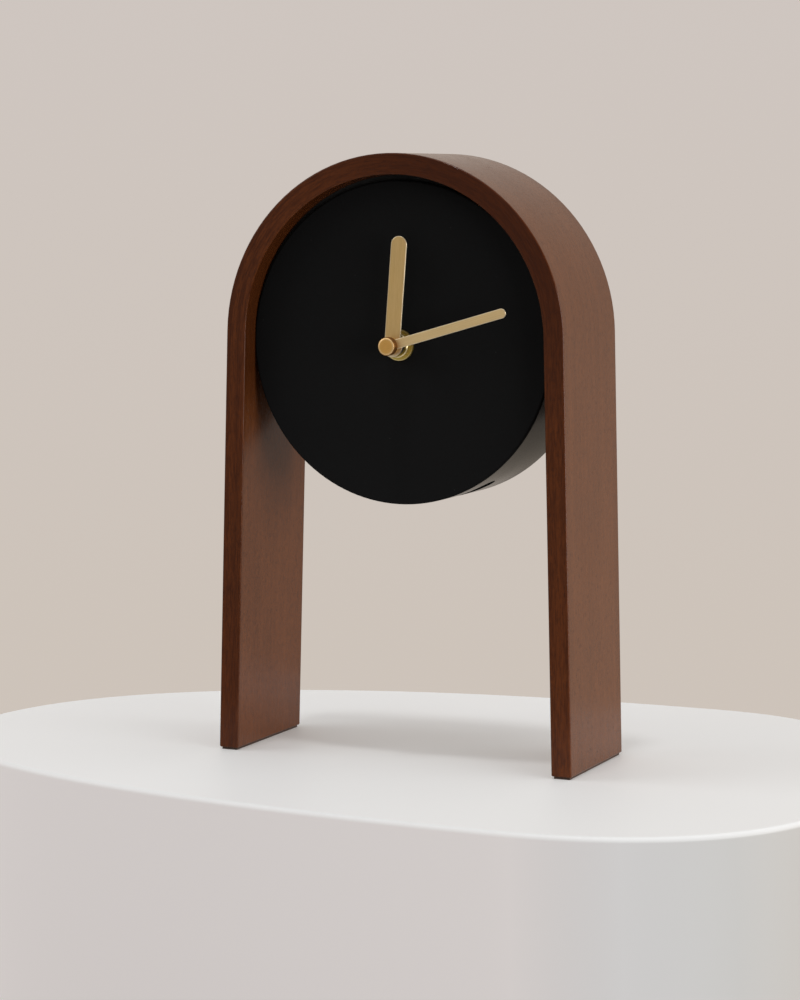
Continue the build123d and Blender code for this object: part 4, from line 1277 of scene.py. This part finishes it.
@dataclass
class Movement:
    """Battery movement behind the dial."""

    case: Moulded = Moulded("case_plastic", rgb(0.020, 0.020, 0.021), rgb(0.013, 0.013, 0.014),
                            roughness=0.5, grain=2400.0)
    knob: Moulded = Moulded("knob_plastic", rgb(0.032, 0.032, 0.034), rgb(0.022, 0.022, 0.024),
                            roughness=0.42, grain=3200.0)
    polished: Moulded = Moulded("polished_plastic", rgb(0.050, 0.050, 0.052),
                                rgb(0.038, 0.038, 0.040), roughness=0.3, grain=3200.0)
    rubber: Moulded = Moulded("gasket_rubber", rgb(0.016, 0.016, 0.016), rgb(0.009, 0.009, 0.009),
                              roughness=0.85, grain=1500.0)
    gears: Moulded = Moulded("gear_plastic", rgb(0.80, 0.79, 0.74), rgb(0.72, 0.71, 0.66),
                             roughness=0.38, grain=4200.0, depth=0.005 * MM, dust=0.0)
    plate: Moulded = Moulded("plate_plastic", rgb(0.66, 0.67, 0.64), rgb(0.60, 0.61, 0.58),
                             roughness=0.3, grain=3600.0, depth=0.005 * MM, dust=0.0)
    epoxy: Moulded = Moulded("black_epoxy", rgb(0.009, 0.009, 0.009), rgb(0.006, 0.006, 0.006),
                             roughness=0.16, grain=900.0, depth=0.01 * MM, dust=0.0)
    ferrite: Moulded = Moulded("ferrite", rgb(0.075, 0.072, 0.075), rgb(0.045, 0.043, 0.045),
                               roughness=0.55, grain=3800.0)
    steel: SheetMetal = SheetMetal("sheet_steel", rgb(0.62, 0.61, 0.59), rgb(0.48, 0.47, 0.46),
                                   roughness=0.3)
    strip: SheetMetal = SheetMetal("nickel_strip", rgb(0.72, 0.69, 0.62), rgb(0.58, 0.55, 0.49),
                                   roughness=0.24)
    wire: WoundCopper = WoundCopper()
    board: PrintedBoard = PrintedBoard()
    cell: CellJacket = CellJacket()
    marks: CaseMarks = CaseMarks()

    def build(self) -> None:
        """Dresses every node of the movement and adds the marks on its back."""
        dress(self.case.build(), "movement_front_case", "movement_back_case")
        self.marks.build(self.polished.build())
        dress(self.knob.build(), "setting_knob")
        dress(self.rubber.build(), "movement_gasket")
        dress(self.gears.build(), "hour_wheel", "motion_wheel", "minute_arbor", "setting_arbor",
              "rotor_pinion", "fifth_wheel", "fourth_wheel", "third_wheel", "centre_wheel",
              "coil_bobbin")
        dress(self.plate.build(), "train_plate")
        dress(self.epoxy.build(), "circuit_chip")
        dress(self.ferrite.build(), "rotor_magnet")
        dress(self.steel.build(), "case_screws", "train_plate_screws", "stator_screws",
              "stator_plate", "coil_core", "quartz_crystal", "clutch_spring")
        dress(self.strip.build(), "positive_contact", "negative_contact")
        dress(self.wire.build(), "coil_winding")
        dress(self.board.build(), "circuit_board")
        low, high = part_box("battery_cell")
        dress(self.cell.build(low.x, high.x), "battery_cell")


@dataclass
class PaleTable:
    """Plain pale table that the clock stands on."""

    left: float = 309.4 * MM
    right: float = 120.4 * MM
    front: float = 118.1 * MM
    back: float = 176.0 * MM
    centre: Flat = (85.9 * MM, -15.4 * MM)
    squareness: float = 2.27
    edge: float = 2.2 * MM
    drop: float = 420.0 * MM
    taper: float = 30.0 * MM
    sides: int = 128
    rounds: int = 8
    colour: Colour = rgb(0.670, 0.700, 0.730)
    # Painted shade: the top darkens towards the right, where the side light falls strongest.
    right_painted_shade_colour: Colour = rgb(0.645, 0.669, 0.690)
    far: float = 205.0 * MM
    # Painted shade on the part of the side that turns towards the side light.
    turned_side_painted_shade: Colour = rgb(0.4115, 0.3987, 0.383)
    turned: Range = (142.0 * MM, 206.3 * MM)
    patch: float = 9.0
    roughness: Range = (0.5, 0.58)
    top_glow: Colour = rgb(0.40, 0.357, 0.320)
    side_glow: Colour = rgb(0.765, 0.635, 0.590)
    no_glow: Colour = rgb(0.0, 0.0, 0.0)
    fading: Range = (98.0 * MM, 180.0 * MM)
    glow: float = 0.35

    def ring(self, inset: float, height: float) -> list[Point]:
        """Corners of the top's outline.

        Args:
            inset: Distance inside the outline.
            height: Z of the ring.

        Returns:
            Points in order.
        """
        power = 2 / self.squareness
        points = []
        for step in range(self.sides):
            angle = 2 * math.pi * step / self.sides
            cosine, sine = math.cos(angle), math.sin(angle)
            across = self.right if cosine > 0 else self.left
            deep = self.back if sine > 0 else self.front
            x = math.copysign(abs(cosine) ** power, cosine) * (across - inset)
            y = math.copysign(abs(sine) ** power, sine) * (deep - inset)
            points.append((self.centre[0] + x, self.centre[1] + y, height))
        return points

    def build_mesh(self) -> bmesh.types.BMesh:
        """Makes the top with its rounded edge, and the side below it.

        Returns:
            The mesh.
        """
        mesh = bmesh.new()
        turns = [math.pi / 2 * step / self.rounds for step in range(self.rounds + 1)]
        levels = [(self.edge * (1 - math.sin(t)), self.edge * (math.cos(t) - 1)) for t in turns]
        levels.append((self.taper, -self.drop))
        rings = [[mesh.verts.new(point) for point in self.ring(*level)] for level in levels]
        mesh.faces.new(rings[0])
        for upper, lower in zip(rings, rings[1:]):
            for step in range(self.sides):
                after = (step + 1) % self.sides
                mesh.faces.new((upper[step], lower[step], lower[after], upper[after]))
        return mesh

    def build_material(self) -> bpy.types.Material:
        """Makes the table's paint, with a faint glow in place of light from a wider room.

        Returns:
            The material.
        """
        surface = Surface("pale_table")
        graph = surface.graph
        across, _, height = graph.split(surface.position)
        side = graph.band(height, -self.edge, 0.0, 1.0, 0.0)
        # Painted shade: the top's colour darkens towards the right.
        tone = graph.blend(graph.band(across, 0.0, self.far), self.colour, self.right_painted_shade_colour)
        # Painted shade where the side turns towards the side light.
        turned = graph.times(side, graph.band(across, *self.turned))
        fading = graph.band(across, *self.fading)
        side_glow = graph.blend(fading, self.side_glow, self.no_glow)
        surface.put(Base_Color=graph.blend(turned, tone, self.turned_side_painted_shade),
                    Roughness=surface.uneven(self.patch, *self.roughness),
                    Emission_Color=graph.blend(side, self.top_glow, side_glow),
                    Emission_Strength=self.glow)
        return surface.material

    def build(self) -> None:
        """Adds the table as part of the stage."""
        table = make_object("pale_table", self.build_mesh(), self.build_material())
        for polygon in table.data.polygons:
            polygon.use_smooth = len(polygon.vertices) < self.sides
        LOG.info("pale table on the stage")


@dataclass(frozen=True)
class SoftBox:
    """Rectangular studio light."""

    name: str
    place: Point
    aim: Point
    width: float
    height: float
    power: float
    colour: Point = (1.0, 0.985, 0.965)

    def build(self) -> None:
        """Adds the light."""
        data = bpy.data.lights.new(self.name, "AREA")
        data.shape = "RECTANGLE"
        data.size, data.size_y = self.width, self.height
        data.energy, data.color = self.power, self.colour
        light = bpy.data.objects.new(self.name, data)
        light.location = self.place
        direction = Vector(self.aim) - Vector(self.place)
        light.rotation_euler = direction.to_track_quat("-Z", "Y").to_euler()
        bpy.context.scene.collection.objects.link(light)


@dataclass
class Studio:
    """Light, surroundings and camera."""

    boxes: tuple[SoftBox, ...] = (
        SoftBox("top_light", place=(0.0, -0.47, 3.0), aim=(0.0, 0.0, 0.1),
                width=0.25, height=0.25, power=18.5),
        SoftBox("side_light", place=(1.4, -0.18, 0.27), aim=(0.0, 0.0, 0.15),
                width=1.7, height=0.8, power=21.5),
        SoftBox("left_light", place=(-1.25, -0.55, 0.9), aim=(0.0, 0.0, 0.1),
                width=0.9, height=0.9, power=6.0),
    )
    backdrop: Colour = rgb(0.612, 0.547, 0.490)
    backdrop_top: Colour = rgb(0.620, 0.562, 0.525)
    backdrop_band: Range = (-0.15, 0.05)
    room_front: Colour = rgb(0.385, 0.37, 0.35)
    room_right: Colour = rgb(0.13, 0.125, 0.118)
    right_band: Range = (-0.1, 0.3)
    room_back: Colour = rgb(0.64, 0.565, 0.50)
    back_band: Range = (-0.15, 0.45)
    room_top: Colour = rgb(0.62, 0.615, 0.605)
    top_band: Range = (0.45, 0.85)
    room_low: Colour = rgb(0.590, 0.500, 0.400)
    low_band: Range = (-0.25, -0.4)
    low_back_band: Range = (0.3, 0.7)
    azimuth: float = math.radians(24.33)
    elevation: float = math.radians(6.26)
    roll: float = math.radians(0.051)
    distance: float = 1308.6 * MM
    aim: Point = (-9.88 * MM, 2.55 * MM, 113.29 * MM)
    lens: float = 105.48
    sensor: float = 36.0
    clip: Range = (0.05, 50.0)

    def build_room(self) -> None:
        """Sets the surroundings: a pale backdrop to the camera, a dimmer room for the light."""
        world = bpy.data.worlds.new("studio_room")
        world.use_nodes = True
        bpy.context.scene.world = world
        graph = Graph(world.node_tree)
        across, backwards, upwards = graph.split(graph.add("TexCoord").outputs["Generated"])
        low = graph.times(graph.band(upwards, *self.low_band),
                          graph.band(backwards, *self.low_back_band))
        room = self.room_front
        for mask, colour in ((graph.band(across, *self.right_band), self.room_right),
                             (graph.band(backwards, *self.back_band), self.room_back),
                             (graph.band(upwards, *self.top_band), self.room_top),
                             (low, self.room_low)):
            room = graph.blend(mask, room, colour)
        wall = graph.blend(graph.band(upwards, *self.backdrop_band),
                           self.backdrop, self.backdrop_top)
        seen = graph.add("LightPath").outputs["Is Camera Ray"]
        shade = world.node_tree.nodes["Background"]
        graph.feed(shade.inputs["Color"], graph.blend(seen, room, wall))

    def build_camera(self) -> None:
        """Adds the camera at the photograph's angle."""
        level = math.cos(self.elevation)
        back = Vector((math.sin(self.azimuth) * level, -math.cos(self.azimuth) * level,
                       math.sin(self.elevation)))
        data = bpy.data.cameras.new("front_right")
        data.lens, data.sensor_width = self.lens, self.sensor
        data.clip_start, data.clip_end = self.clip
        camera = bpy.data.objects.new("front_right", data)
        turn = (-back).to_track_quat("-Z", "Y").to_matrix().to_4x4()
        turn = turn @ Matrix.Rotation(self.roll, 4, "Z")
        place = Vector(self.aim) + back * self.distance
        camera.matrix_world = Matrix.Translation(place) @ turn
        bpy.context.scene.collection.objects.link(camera)
        bpy.context.scene.camera = camera

    def build(self) -> None:
        """Adds the room, lights and camera."""
        self.build_room()
        for box in self.boxes:
            box.build()
        self.build_camera()
        bpy.context.scene.view_settings.view_transform = "Standard"


def main() -> None:
    """Builds the dressed clock and its studio."""
    logging.basicConfig(level=logging.INFO, format="%(message)s")
    low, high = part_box("cap_nut")
    WoodArch().build()
    DialDrum().build()
    HandSet().build((low + high) / 2)
    Movement().build()
    PaleTable().build()
    Studio().build()


if __name__ == "__main__":
    main()
